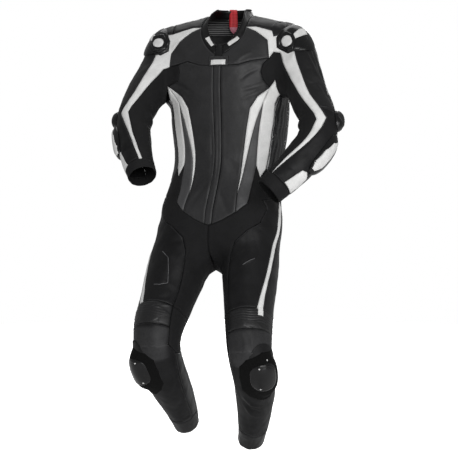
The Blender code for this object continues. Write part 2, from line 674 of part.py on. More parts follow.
def armhole(side):
    """Points round an armhole: where a plane through the shoulder meets the form."""
    centre, normal = (np.array(v) for v in ARMHOLES[side])
    normal /= np.linalg.norm(normal)
    points = []
    for angle in ARMHOLE_ANGLES:
        ray = np.array([0.0, -math.sin(math.radians(angle)), math.cos(math.radians(angle))])
        ray -= normal * (ray @ normal)
        ray /= np.linalg.norm(ray)
        reach = np.linspace(0.02, 0.2, 91)
        sign = form(centre + reach[:, None] * ray) > 0
        last = int(sign.argmax())
        low, high = reach[last - 1], reach[last]
        for _ in range(24):
            mid = 0.5 * (low + high)
            if form((centre + mid * ray)[None])[0] > 0:
                high = mid
            else:
                low = mid
        points.append(centre + low * ray)
    return np.array(points)


def centre_seam(front, back, count):
    """Points in the plane between the legs, from the hip seam's front under to its back."""
    hub = np.array(PELVIS)

    def turn(p):
        return math.atan2(-(p[2] - hub[2]), -(p[1] - hub[1]))     # 0 is forward, 90 degrees is down
    start, low, end = turn(front), turn(np.array(CROTCH)), turn(back) % (2 * math.pi)
    angles = np.concatenate([np.linspace(start, low, count + 1)[1:], np.linspace(low, end, count + 1)[1:-1]])
    points = []
    for a in angles:
        ray = np.array([0.0, -math.cos(a), -math.sin(a)])
        reach = np.linspace(0.04, 0.25, 106)
        sign = form(hub + reach[:, None] * ray) > 0
        last = int(sign.argmax())
        low_r, high_r = reach[last - 1], reach[last]
        for _ in range(24):
            mid = 0.5 * (low_r + high_r)
            if form((hub + mid * ray)[None])[0] > 0:
                high_r = mid
            else:
                low_r = mid
        points.append(hub + low_r * ray)
    return np.array(points), count - 1


def side_pleats():
    """Upright pleats of the stretch panel under the arm: (ring, angle, rise) points."""
    angles = np.linspace(*PLEAT_ANGLES, 2 * PLEATS + 1)
    rings = np.linspace(*PLEAT_RINGS, PLEAT_ROWS)
    return [(r, a, PLEAT_RISE if k % 2 else 0.0) for k, a in enumerate(angles) for r in rings]


def knee_ribs():
    """Level ribs of the shirred band above the knee: (ring, angle, rise) points."""
    rings = np.linspace(*KNEE_RIB_RINGS, 2 * KNEE_RIBS + 1)
    angles = np.linspace(*KNEE_RIB_ANGLES, KNEE_RIB_COLUMNS)
    return [(r, a, KNEE_RIB_RISE if k % 2 else 0.0) for k, r in enumerate(rings) for a in angles]


def lay_trunk(net):
    """Neck seam, hip seam and armholes bound the trunk; its seams part the pieces."""
    sheet = Layout(net, TRUNK, TRUNK_GRID)
    ring, angle = keep_points(TRUNK, NECK_SEAM, NECK_GRID)
    zip_angle, zip_ring = np.array(ZIP_TOP, float).T
    neck_ring = np.concatenate([ring, zip_ring, ring[::-1]])
    neck_angle = np.concatenate([angle, zip_angle, 180 - angle[::-1]])
    hip_ring, hip_angle = mirrored(*keep_points(TRUNK, HIP_SEAM, TRUNK_GRID))
    back_ring, _ = TRUNK.unflat(np.array(curve_points(
        TRUNK.flat(np.array(CENTRE_BACK), np.full(len(CENTRE_BACK), -90.0)), TRUNK_GRID)))
    back_ring = back_ring[1:-1]
    rim_ring = np.concatenate([neck_ring, back_ring, hip_ring[::-1], back_ring[::-1]])
    rim_angle = np.concatenate([neck_angle, np.full(len(back_ring), 270.0), hip_angle[::-1],
                                np.full(len(back_ring), -90.0)])
    places = settle(TRUNK.point(rim_ring, rim_angle))
    numbers = [net.add(p) for p in places]
    sheet.loop(numbers, rim_ring, rim_angle)
    holes = {}
    for side in ARMS:
        points = armhole(side)
        hole_ring, hole_angle = TRUNK.locate(points)
        if side == "right":
            hole_angle = hole_angle % 360
        holes[side] = [net.add(p) for p in points]
        sheet.loop(holes[side], hole_ring, hole_angle)
    for points in TRUNK_SEAMS.values():
        sheet.seam(points)
        sheet.seam([(r, 180 - a) for r, a in points])
    pieces = list(MIDDLE_PIECES)
    for name, (r, a) in TRUNK_PIECES.items():
        pieces += [(name.strip(".") + "_left", r, a), (name.strip(".") + "_right", r, 180 - a)]
    pleats = side_pleats()
    ribs = [("side_stretch_left", pleats), ("side_stretch_right", [(r, 180 - a, h) for r, a, h in pleats])]
    sheet.cut(pieces, ribs)
    count = len(neck_ring)
    hips = numbers[count + len(back_ring):count + len(back_ring) + len(hip_ring)][::-1]
    return numbers[:count], list(zip(neck_ring, neck_angle)), hips, holes, sheet


def lay_arm(net, side, hole):
    """A sleeve from its armhole to its cuff, opened along its back seam."""
    arm = ARMS[side]
    sheet = Layout(net, arm, ARM_GRID)
    points = np.array([net.points[n] for n in hole])
    hole_ring, hole_angle = arm.locate(points)
    nominal = np.array(ARMHOLE_ANGLES, float)
    hole_angle = nominal + (hole_angle - nominal + 180) % 360 - 180
    turn = hole_angle[0]
    seam_angle = np.interp(SLEEVE_RINGS, [hole_ring[0], 2.0, 7.0], [turn, -100, -100])
    flat = curve_points(arm.flat(np.array([hole_ring[0]] + SLEEVE_RINGS),
                                 np.concatenate([[turn], seam_angle])), ARM_GRID)
    seam_ring, seam_angle = arm.unflat(np.array(flat[1:-1]))
    cuff_angle = np.linspace(-100, 260, 13)
    rim_ring = np.concatenate([hole_ring, [hole_ring[0]], seam_ring, np.full(13, 7.0), seam_ring[::-1]])
    rim_angle = np.concatenate([hole_angle, [turn + 360], seam_angle + 360, cuff_angle[::-1],
                                seam_angle[::-1]])
    places = settle(arm.point(rim_ring, rim_angle))
    numbers = [net.add(p) for p in places]
    numbers[:len(hole)] = hole
    numbers[len(hole)] = hole[0]
    sheet.loop(numbers, rim_ring, rim_angle)
    for seam in ARM_SEAMS.values():
        sheet.seam(seam)
    sheet.cut([(f"{name}_{side}", r, a) for name, (r, a) in ARM_PIECES.items()])
    return sheet


def lay_leg(net, side, hips, centre):
    """A leg from the hip seam to its hem, opened along its inseam."""
    leg = LEGS[side]
    sheet = Layout(net, leg, LEG_GRID)
    middle, crotch = centre
    front_part, back_part = middle[:crotch], middle[crotch + 1:]
    hip_ring, hip_angle = leg.locate(np.array([net.points[n] for n in hips]))
    part_ring, part_angle = leg.locate(np.array([net.points[n] for n in middle]))
    down_angle = np.where(part_angle > 0, part_angle - 360, part_angle)
    inseam = [(part_ring[crotch], down_angle[crotch])] + INSEAM
    ring, angle = np.array(inseam, float).T
    seam_ring, seam_angle = leg.unflat(np.array(curve_points(leg.flat(ring, angle), LEG_GRID)))
    seam_ring, seam_angle = seam_ring[1:-1], seam_angle[1:-1]
    hem_angle = np.linspace(-180, 180, 11)
    front_angle = part_angle[:crotch] % 360
    back_angle = down_angle[crotch + 1:]
    rim_ring = np.concatenate([hip_ring, part_ring[:crotch:-1], [part_ring[crotch]], seam_ring,
                               np.full(11, 10.0), seam_ring[::-1], [part_ring[crotch]],
                               part_ring[:crotch][::-1]])
    rim_angle = np.concatenate([hip_angle, back_angle[::-1], [down_angle[crotch]], seam_angle, hem_angle,
                                seam_angle[::-1] + 360, [down_angle[crotch] + 360], front_angle[::-1]])
    places = settle(leg.point(rim_ring, rim_angle))
    numbers = [net.add(p) for p in places]
    count = len(hips)
    numbers[:count] = hips
    tail = count + len(back_part)
    numbers[count:tail] = back_part[::-1]
    numbers[tail] = middle[crotch]
    last = len(numbers) - len(front_part) - 1
    numbers[last] = middle[crotch]
    numbers[last + 1:] = front_part[::-1]
    sheet.loop(numbers, rim_ring, rim_angle)
    for seam in LEG_SEAMS.values():
        sheet.seam(seam)
    sheet.cut([(f"{name.strip('.')}_{side}", r, a) for name, (r, a) in LEG_PIECES.items()],
              [(f"knee_stretch_{side}", knee_ribs())])
    return sheet


def lay_out():
    """The whole net of cloth pieces."""
    net = Net()
    neck, neck_chart, hips, holes, _ = lay_trunk(net)
    for side in ARMS:
        lay_arm(net, side, holes[side])
    front = int(len(hips) // 2)
    points, crotch = centre_seam(net.points[hips[front]], net.points[hips[0]], 4)
    middle = [net.add(p) for p in points]
    left_hips = hips[:front + 1][::-1]           # from the front round the left to the back
    right_hips = hips[front:]
    lay_leg(net, "left", left_hips, (middle, crotch))
    lay_leg(net, "right", right_hips, (middle, crotch))
    net.settle_all()
    return net, neck, neck_chart


# ==== solids ===============================================================================
# finish: base colour, roughness, metallic
FINISHES = {
    "black_leather": ((0.022, 0.022, 0.023), 0.45, 0.0),
    "grey_leather": ((0.065, 0.065, 0.067), 0.45, 0.0),
    "white_leather": ((0.78, 0.78, 0.77), 0.50, 0.0),
    "stretch_textile": ((0.010, 0.010, 0.011), 0.85, 0.0),
    "mesh_lining": ((0.10, 0.10, 0.10), 0.80, 0.0),
    "red_webbing": ((0.55, 0.02, 0.03), 0.60, 0.0),
    "black_plastic": ((0.012, 0.012, 0.013), 0.30, 0.0),
    "zip_tape": ((0.020, 0.020, 0.021), 0.70, 0.0),
}
CLOTH_FINISH = {"stripe_arm": "white_leather", "stripe_front": "white_leather",
                "stripe_side": "white_leather", "stripe_thigh": "white_leather",
                "flank": "grey_leather", "side_stretch": "stretch_textile",
                "sleeve_inner": "stretch_textile", "hip_stretch": "stretch_textile",
                "knee_back": "stretch_textile", "zip": "zip_tape"}

# collar: angle from the back, height, lean towards the neck in degrees
COLLAR_ROWS = [(0, 30, 14), (40, 31, 15), (90, 35, 36), (125, 37, 44), (155, 33, 42), (172, 28, 32),
               (180, 26, 26)]
COLLAR_WALL = 2.4 * MM
COLLAR_ENDS = (84.5, 95.5)      # trunk angles where the collar's two ends stand beside the zip
COLLAR_HUB = (0.0, 0.03)        # x, y that every part of the collar leans to

# laid pieces: chart, ring, angle, half width, half length (mm), corner power,
# what they clear (mm), profile of (fraction of radius, height in mm)
PADS = {
    "shoulder_cap": ("arm", 1.30, 68, 57, 42, 3.0, 1.7,
                     [(0.0, 10.0), (0.35, 9.8), (0.65, 9.2), (0.88, 7.6), (1.0, 4.8)], "black_plastic"),
    "elbow_slider": ("arm", 4.14, -4, 24, 24, 2.6, 1.0,
                     [(0.0, 19.0), (0.4, 18.0), (0.75, 14.0), (1.0, 4.0)], "black_plastic"),
    "forearm_guard": ("arm", 5.33, 4, 30, 58, 2.6, 1.0,
                      [(0.0, 15.0), (0.35, 14.8), (0.66, 14.0), (0.70, 12.6), (0.88, 9.5), (1.0, 3.5)],
                      "black_plastic"),
    "cuff_patch": ("arm", 6.34, 24, 20, 25, 3.0, 0.8, [(0.0, 2.2), (0.6, 2.2), (1.0, 2.1)], "white_leather"),
    "knee_slider": ("leg", 6.88, 35, 58, 70, 2.6, 1.9,
                    [(0.0, 23.0), (0.25, 22.6), (0.48, 20.0), (0.66, 13.5), (0.76, 5.5), (0.78, 3.8),
                     (0.9, 3.7), (1.0, 3.5)], "black_plastic"),
    "neck_tab": ("trunk", 6.12, 88, 24, 10, 3.5, 2.3, [(0.0, 4.0), (0.6, 4.0), (1.0, 3.8)], "black_leather"),
}
CLEAR_MORE = {"shoulder_cap_left": 0.9}     # mm, where the stripe on the sleeve rises under a pad
PAD_SPOKES = 16

LINING_END = 4.7            # trunk ring where the mesh inside the neck ends
ZIP_FLAP_TOP = 6.1          # trunk ring where the flap over the zip starts
LOOP_X, LOOP_WIDTH, LOOP_WALL = -0.011, 24 * MM, 1.2 * MM
LOOP_HEIGHTS = [26, 12, 1, -14, -30, -42]   # rows of the hanging loop over the neck seam (mm)
LOOP_GAP, LOOP_SEARCH = 0.7 * MM, 0.04


def finish(name):
    """A finish as a Blender material, made once."""
    if name in bpy.data.materials:
        return bpy.data.materials[name]
    colour, roughness, metallic = FINISHES[name]
    material = bpy.data.materials.new(name)
    material.use_nodes = True
    shader = material.node_tree.nodes["Principled BSDF"]
    shader.inputs["Base Color"].default_value = (*colour, 1.0)
    shader.inputs["Roughness"].default_value = roughness
    shader.inputs["Metallic"].default_value = metallic
    material.diffuse_color = (*colour, 1.0)
    return material


def finished_object(name, bm, finish_name):
    """One named object from a closed mesh, its faces turned outwards."""
    bmesh.ops.recalc_face_normals(bm, faces=bm.faces[:])
    mesh = bpy.data.meshes.new(name)
    bm.to_mesh(mesh)
    bm.free()
    mesh.shade_smooth()
    mesh.set_sharp_from_angle(angle=math.radians(40))
    mesh.materials.append(finish(finish_name))
    obj = bpy.data.objects.new(name, mesh)
    bpy.context.scene.collection.objects.link(obj)
    return obj


def thicken(bm, inner_places):
    """Close an open sheet into a wall: its copy goes to the given places."""
    sheet = bm.faces[:]
    made = bmesh.ops.extrude_face_region(bm, geom=sheet, use_keep_orig=True)["geom"]
    copies = [v for v in made if isinstance(v, bmesh.types.BMVert)]
    for vert in copies:
        key = tuple(vert.co)
        vert.co = inner_places[key]


def open_edges(faces):
    """The edges that only one triangle has, each with that triangle's third corner."""
    uses = {}
    for f in faces:
        for i in range(3):
            a, b, c = f[i], f[(i + 1) % 3], f[(i + 2) % 3]
            uses.setdefault((min(a, b), max(a, b)), []).append(c)
    return {edge: corners[0] for edge, corners in uses.items() if len(corners) == 1}


def edge_pulls(points, normals, faces):
    """For each point on a piece's edge, the in-surface step that moves both its edges in by 1."""
    pulls = {}
    for (a, b), c in open_edges(faces).items():
        along = points[b] - points[a]
        along /= np.linalg.norm(along)
        for v in (a, b):
            inward = points[c] - points[v]
            inward = inward - along * (inward @ along)
            inward = inward - normals[v] * (inward @ normals[v])
            pulls.setdefault(v, []).append(inward / np.linalg.norm(inward))
    steps = {}
    for v, ways in pulls.items():
        total = np.sum(ways, axis=0)
        steps[v] = total / max(0.35, 0.5 * (total @ total)) if len(ways) == 2 else ways[0]
    return steps


def wall(net, name, faces, finish_name, lift=0.0, thickness=LEATHER, pull=0.5 * SEAM_GAP):
    """A piece of cloth: its net points moved out by lift, closed by a copy one wall inside."""
    steps = edge_pulls(net.points, net.normals, faces)
    bm = bmesh.new()
    outer, inner = {}, {}
    for v in sorted({v for f in faces for v in f}):
        at = net.points[v] + net.normals[v] * lift + pull * steps.get(v, 0.0)
        rise = net.rise.get(v, 0.0) if lift == 0.0 else 0.0
        outer[v] = bm.verts.new(at + net.normals[v] * rise)
        inner[v] = bm.verts.new(at - net.normals[v] * thickness)
    for a, b, c in faces:
        bm.faces.new((outer[a], outer[b], outer[c]))
        bm.faces.new((inner[c], inner[b], inner[a]))
    for low, high in open_edges(faces):
        bm.faces.new((outer[low], outer[high], inner[high]))
        bm.faces.new((outer[low], inner[high], inner[low]))
    return finished_object(name, bm, finish_name)


def pad(name, chart, ring, angle, half_width, half_length, power, clear, profile, finish_name):
    """A laid or moulded piece with a rounded outline, domed to a profile over the cloth."""
    clear += CLEAR_MORE.get(name, 0.0)
    centre = chart.flat(np.array([ring]), np.array([angle]))[0]
    stretch = chart.radius / chart.girth(np.array([ring]))[0]
    turns = np.arange(PAD_SPOKES) * 2 * math.pi / PAD_SPOKES
    c, s = np.cos(turns), np.sin(turns)
    reach = (np.abs(c) ** power + np.abs(s) ** power) ** (-1 / power)
    outline = np.stack([reach * c * half_width * MM * stretch, reach * s * half_length * MM], -1)
    flat, top = [centre], [profile[0][1]]
    for fraction, height in profile[1:]:
        flat += list(centre + fraction * outline)
        top += [height] * PAD_SPOKES
    base = settle(chart.point(*chart.unflat(np.array(flat))))
    normal = slope(base)
    normal /= np.linalg.norm(normal, axis=1, keepdims=True)
    bm = bmesh.new()
    inner, verts = {}, []
    for at, n, height in zip(base, normal, top):
        vert = bm.verts.new(at + n * height * MM)
        verts.append(vert)
        inner[tuple(vert.co)] = at + n * clear * MM
    for i in range(PAD_SPOKES):
        j = (i + 1) % PAD_SPOKES
        bm.faces.new((verts[0], verts[1 + i], verts[1 + j]))
        for row in range(len(profile) - 2):
            a, b = 1 + row * PAD_SPOKES, 1 + (row + 1) * PAD_SPOKES
            bm.faces.new((verts[a + i], verts[b + i], verts[b + j], verts[a + j]))
    thicken(bm, inner)
    return finished_object(name, bm, finish_name)


def collar_ways(at, angle):
    """Height of the collar over a neck seam point, its way up and its way through the wall."""
    table = np.array(COLLAR_ROWS, float)
    off_back = abs((angle + 90 + 180) % 360 - 180)
    height = np.interp(off_back, table[:, 0], table[:, 1]) * MM
    lean = math.radians(np.interp(off_back, table[:, 0], table[:, 2]))
    inward = np.array([*COLLAR_HUB, 0.0]) - at
    inward[2] = 0.0
    inward /= np.linalg.norm(inward)
    up = np.array([0.0, 0.0, 1.0])
    return height, up * math.cos(lean) + inward * math.sin(lean), inward * math.cos(lean) - up * math.sin(lean)


def collar(net, neck, neck_chart):
    """The standing collar: a band up from the neck seam, open at the zip."""
    other, corner = (int(np.argmin([abs(a - end) for _, a in neck_chart])) for end in COLLAR_ENDS)
    bm = bmesh.new()
    rows, inner = [], {}
    for i in list(range(corner, len(neck))) + list(range(1, other + 1)):
        at, normal = net.points[neck[i]], net.normals[neck[i]]
        height, upward, across = collar_ways(at, neck_chart[i][1])
        foot = at + SEAM_GAP * (normal + upward)
        row = []
        for part in (0.0, 0.5, 1.0):
            vert = bm.verts.new(foot + upward * height * part)
            inner[tuple(vert.co)] = foot + upward * height * part + across * COLLAR_WALL
            row.append(vert)
        rows.append(row)
    for one, two in zip(rows[:-1], rows[1:]):
        for k in range(2):
            bm.faces.new((one[k], two[k], two[k + 1], one[k + 1]))
    thicken(bm, inner)
    return finished_object("collar", bm, "black_leather")


def hanging_loop(net, neck):
    """The webbing strip inside the back of the collar, pointed at its lower end."""
    back = net.points[[n for n in neck if net.points[n][1] > LOOP_SEARCH]]
    back = back[np.argsort(back[:, 0])]
    spots = LOOP_X + 0.5 * LOOP_WIDTH * np.array([-1.0, 0.0, 1.0])
    down = np.array([0.0, 0.0, 1.0])
    bm = bmesh.new()
    rows, inner = [], {}
    for height in LOOP_HEIGHTS:
        row = []
        for x in spots if height != LOOP_HEIGHTS[-1] else spots[1:2]:
            foot = np.array([x, np.interp(x, back[:, 0], back[:, 1]), np.interp(x, back[:, 0], back[:, 2])])
            _, upward, across = collar_ways(foot, NECK_SEAM[0][0])
            foot = foot + across * (COLLAR_WALL + LOOP_GAP) + upward * SEAM_GAP
            at = foot + (upward if height > 0 else down) * height * MM
            row.append(bm.verts.new(at))
            inner[tuple(row[-1].co)] = at + across * LOOP_WALL
        rows.append(row)
    for one, two in zip(rows[:-2], rows[1:-1]):
        for k in range(2):
            bm.faces.new((one[k], two[k], two[k + 1], one[k + 1]))
    for k in range(2):
        bm.faces.new((rows[-2][k], rows[-1][0], rows[-2][k + 1]))
    thicken(bm, inner)
    return finished_object("hanging_loop", bm, "red_webbing")


def build():
    """Every solid of the suit."""
    for obj in list(bpy.data.objects):
        bpy.data.objects.remove(obj, do_unlink=True)
    net, neck, neck_chart = lay_out()
    for name, faces in net.pieces.items():
        kind = name.replace("_left", "").replace("_right", "")
        wall(net, name, faces, CLOTH_FINISH.get(kind, "black_leather"))
    for name, (limb, *rest) in PADS.items():
        if limb == "trunk":
            pad(name, TRUNK, *rest)
            continue
        for side in ARMS:
            pad(f"{name}_{side}", (ARMS if limb == "arm" else LEGS)[side], *rest)
    collar(net, neck, neck_chart)
    hanging_loop(net, neck)
    lining = [f for f in net.pieces["back_yoke"] if max(TRUNK.locate(net.points[list(f)])[0]) < LINING_END]
    wall(net, "neck_lining", lining, "mesh_lining", lift=-(LEATHER + SEAM_GAP), thickness=LINING)
    flap = [f for f in net.pieces["zip"] if min(TRUNK.locate(net.points[list(f)])[0]) > ZIP_FLAP_TOP]
    wall(net, "zip_flap", flap, "black_leather", lift=SEAM_GAP + TRIM, thickness=TRIM)


if __name__ == "__main__":
    build()
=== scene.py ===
"""The looks of a one-piece motorcycle race suit, filled out as if worn, with nobody in it.

Each piece of cloth is a thin wall on its solid's own form, with its seams, creases and ribs.
The caps, sliders and guards are finer mouldings on theirs. Numbers are millimetres and degrees
where nothing else is said.
"""
import logging
import math
from dataclasses import dataclass, field
from enum import Enum

import bmesh
import bpy
import numpy as np
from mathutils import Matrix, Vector, noise
from mathutils.bvhtree import BVHTree
from mathutils.kdtree import KDTree


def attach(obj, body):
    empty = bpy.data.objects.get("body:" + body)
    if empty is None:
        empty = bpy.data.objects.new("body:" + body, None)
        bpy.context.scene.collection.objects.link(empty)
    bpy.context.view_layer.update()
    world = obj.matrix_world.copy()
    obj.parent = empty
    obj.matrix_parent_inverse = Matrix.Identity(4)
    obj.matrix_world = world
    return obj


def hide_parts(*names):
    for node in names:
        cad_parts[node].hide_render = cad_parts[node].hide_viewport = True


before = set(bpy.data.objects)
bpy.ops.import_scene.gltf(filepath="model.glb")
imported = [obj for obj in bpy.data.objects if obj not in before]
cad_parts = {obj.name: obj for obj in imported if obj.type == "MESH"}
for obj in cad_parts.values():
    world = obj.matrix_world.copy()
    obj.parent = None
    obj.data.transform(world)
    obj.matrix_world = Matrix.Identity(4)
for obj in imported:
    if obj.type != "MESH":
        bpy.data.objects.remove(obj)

Socket = bpy.types.NodeSocket
Axes = tuple[Vector, Vector, Vector, Vector]        # a point, and the ways out, down and to more turn
Outline = tuple[tuple[float, float], ...]           # corners in a plate's own plane
Path = tuple[tuple[float, float], ...]              # places on the suit: a station and a turn each
Triple = tuple[float, float, float]

MM = 0.001
BODY = "root"
SIDES = ("left", "right")
WALL = 2.0              # leather and stretch textile
THIN_WALL = 1.2         # zip flap
MESH_WALL = 1.0         # neck lining
SHARP_BEND = 0.9        # radians: a rim is turned more than this from the face of its wall
SEAM_REACH = 1.3        # how far apart two edges sewn together may lie
ROUNDNESS = 0.75        # share of the way from flat triangles to the curve through their normals
CREASE_REACH = 2.6      # a crease ends so many half widths from its line
TRACE_STEPS = 5         # points on the cloth from one place of a path to the next
PLATE_MERGE = 0.25      # corners of a plate this close are joined
CROSSING = 0.25         # metres: longer than from any middle to the cloth round it
DROP = 0.2              # metres that a piece is dropped from when it is laid
TANGENT = (0.2, 4.0)    # station and turn over which a place's own directions are taken
FLAT_BEND = (0.6, 1.2)  # radians: two triangles this flat and square become one face
NO_EDGE = 20.0          # where a piece has no sewn edge: the fold at a seam, with its painted shade, is nowhere near
WAVE_TURN = 20          # radians that the Wave texture runs through in a unit, at a scale of 1
COLOUR_A, COLOUR_B, COLOUR_OUT = 6, 7, 2            # a Mix node's sockets for colours

log = logging.getLogger("race_suit")


# ---- colours and nodes --------------------------------------------------------------------
def linear(hex_colour: str) -> tuple[float, float, float, float]:
    """Linear colour of an sRGB hex value.

    Args:
        hex_colour: such as "#1c1c1d".

    Returns:
        Red, green, blue and full opacity.
    """
    parts = [int(hex_colour[i:i + 2], 16) / 255 for i in (1, 3, 5)]
    return (*[c / 12.92 if c <= 0.04045 else ((c + 0.055) / 1.055) ** 2.4 for c in parts], 1.0)


def add(tree: bpy.types.NodeTree, kind: str, settings: dict | None = None,
        links: dict | None = None) -> bpy.types.Node:
    """Add a node with its settings and links.

    Args:
        tree: the material's or world's nodes.
        kind: the node's type, without "ShaderNode".
        settings: socket names or numbers and properties, with their values.
        links: socket names or numbers, with the output that each reads.

    Returns:
        The new node.
    """
    node = tree.nodes.new("ShaderNode" + kind)
    for key, value in (settings or {}).items():
        if isinstance(key, int) or key in node.inputs:
            node.inputs[key].default_value = value
        else:
            setattr(node, key, value)
    for key, source in (links or {}).items():
        tree.links.new(source, node.inputs[key])
    return node


def to_metre(size: float) -> float:
    """How many patches of so many millimetres go into a metre."""
    return 1 / (size * MM)


def to_mesh(bm: bmesh.types.BMesh, name: str) -> bpy.types.Mesh:
    """Turn a bmesh into a mesh, and free it.

    Args:
        bm: the bmesh, which is gone afterwards.
        name: the mesh's name.

    Returns:
        The new mesh.
    """
    mesh = bpy.data.meshes.new(name)
    bm.to_mesh(mesh)
    bm.free()
    return mesh


def put(name: str, data: bpy.types.ID) -> bpy.types.Object:
    """Put an object in the scene.

    Args:
        name: its name.
        data: its mesh, curve, light or camera.

    Returns:
        The object.
    """
    made = bpy.data.objects.new(name, data)
    bpy.context.scene.collection.objects.link(made)
    return made


class Graph:
    """The nodes of one material, with short ways to add the usual ones."""

    def __init__(self, name: str) -> None:
        """Start a material with its shader and its Object coordinates."""
        self.material = bpy.data.materials.new(name)
        self.material.use_nodes = True
        self.tree = self.material.node_tree
        self.shader = self.tree.nodes["Principled BSDF"]
        self.spot = add(self.tree, "TexCoord").outputs["Object"]

    def noise(self, scale: float, detail: float = 2.0, more: dict | None = None) -> Socket:
        """Soft patches, so many to the metre."""
        settings = {"Scale": scale, "Detail": detail, **(more or {})}
        return add(self.tree, "TexNoise", settings, {"Vector": self.spot}).outputs["Fac"]

    def bands(self, pitch: float, way: str = "Z", more: dict | None = None) -> Socket:
        """Soft bands across an axis, one in each pitch of so many millimetres."""
        settings = {"wave_type": "BANDS", "bands_direction": way,
                    "Scale": to_metre(pitch) * 2 * math.pi / WAVE_TURN, **(more or {})}
        return add(self.tree, "TexWave", settings, {"Vector": self.spot}).outputs["Fac"]

    def cells(self, size: float, more: dict | None = None) -> Socket:
        """How far a place is from the middle of its cell, of so many millimetres."""
        settings = {**(more or {}), "Scale": to_metre(size)}
        return add(self.tree, "TexVoronoi", settings, {"Vector": self.spot}).outputs["Distance"]

    def attribute(self, name: str) -> Socket:
        """A number that the mesh holds for each of its points."""
        return add(self.tree, "Attribute", {"attribute_name": name}).outputs["Fac"]

    def math(self, operation: str, value: Socket, *others: Socket | float) -> Socket:
        """Add a Math node.

        Args:
            operation: what it works out.
            value: its first input.
            others: a number or a socket for each other input.

        Returns:
            Its output.
        """
        settings: dict = {"operation": operation}
        links = {0: value}
        for number, other in enumerate(others, 1):
            (links if isinstance(other, Socket) else settings)[number] = other
        return add(self.tree, "Math", settings, links).outputs["Value"]

    def spread(self, value: Socket, start: tuple[float, float], end: tuple[float, float]) -> Socket:
        """A value's range turned into another range, clipped at both ends."""
        settings = {"From Min": start[0], "From Max": start[1], "To Min": end[0], "To Max": end[1]}
        return add(self.tree, "MapRange", settings, {"Value": value}).outputs["Result"]

    def tones(self, factor: Socket, dark: str, light: str, start: float, end: float) -> Socket:
        """A dark tone up to one value of the factor, and a light one from another.

        Args:
            factor: what the ramp reads.
            dark: hex value of the dark tone.
            light: hex value of the light tone.
            start: where the dark tone ends.
            end: where the light one starts.

        Returns:
            The colour.
        """
        ramp = add(self.tree, "ValToRGB", links={"Fac": factor})
        for stop, colour, place in zip(ramp.color_ramp.elements, (dark, light), (start, end)):
            stop.position = place
            stop.color = linear(colour)
        return ramp.outputs["Color"]

    def mix(self, factor: Socket, first: Socket, second: str) -> Socket:
        """A colour, with one of a hex value laid over it by a factor."""
        links = {"Factor": factor, COLOUR_A: first}
        mixed = add(self.tree, "Mix", {"data_type": "RGBA", COLOUR_B: linear(second)}, links)
        return mixed.outputs[COLOUR_OUT]

    def shade(self, colour: Socket, by: Socket) -> Socket:
        """A colour, darkened by a factor."""
        settings = {"data_type": "RGBA", "blend_type": "MULTIPLY", "Factor": 1.0}
        return add(self.tree, "Mix", settings, {COLOUR_A: colour, COLOUR_B: by}).outputs[COLOUR_OUT]

    def finish(self, colour: Socket, roughness: Socket | float, sheen: float = 0.5,
               relief: tuple[Socket, float, float] | None = None,
               more: dict | None = None) -> bpy.types.Material:
        """Join the colour, the roughness and the relief to the shader.

        Args:
            colour: the base colour.
            roughness: a number, or a socket where it varies.
            sheen: the specular level.
            relief: what the bump reads, its strength, and its depth in millimetres.
            more: other inputs of the shader, with their values.

        Returns:
            The material.
        """
        inputs = self.shader.inputs
        self.tree.links.new(colour, inputs["Base Color"])
        values = {"Specular IOR Level": sheen, **(more or {})}
        if isinstance(roughness, Socket):
            self.tree.links.new(roughness, inputs["Roughness"])
        else:
            values["Roughness"] = roughness
        if relief:
            height, strength, depth = relief
            bump = add(self.tree, "Bump", {"Strength": strength, "Distance": depth * MM}, {"Height": height})
            self.tree.links.new(bump.outputs["Normal"], inputs["Normal"])
        for name, value in values.items():
            inputs[name].default_value = value
        return self.material


# ---- finishes -----------------------------------------------------------------------------
@dataclass(frozen=True)
class Surface:
    """What every finish has: its material's name, and its darkest and lightest tone."""

    name: str
    dark: str
    light: str


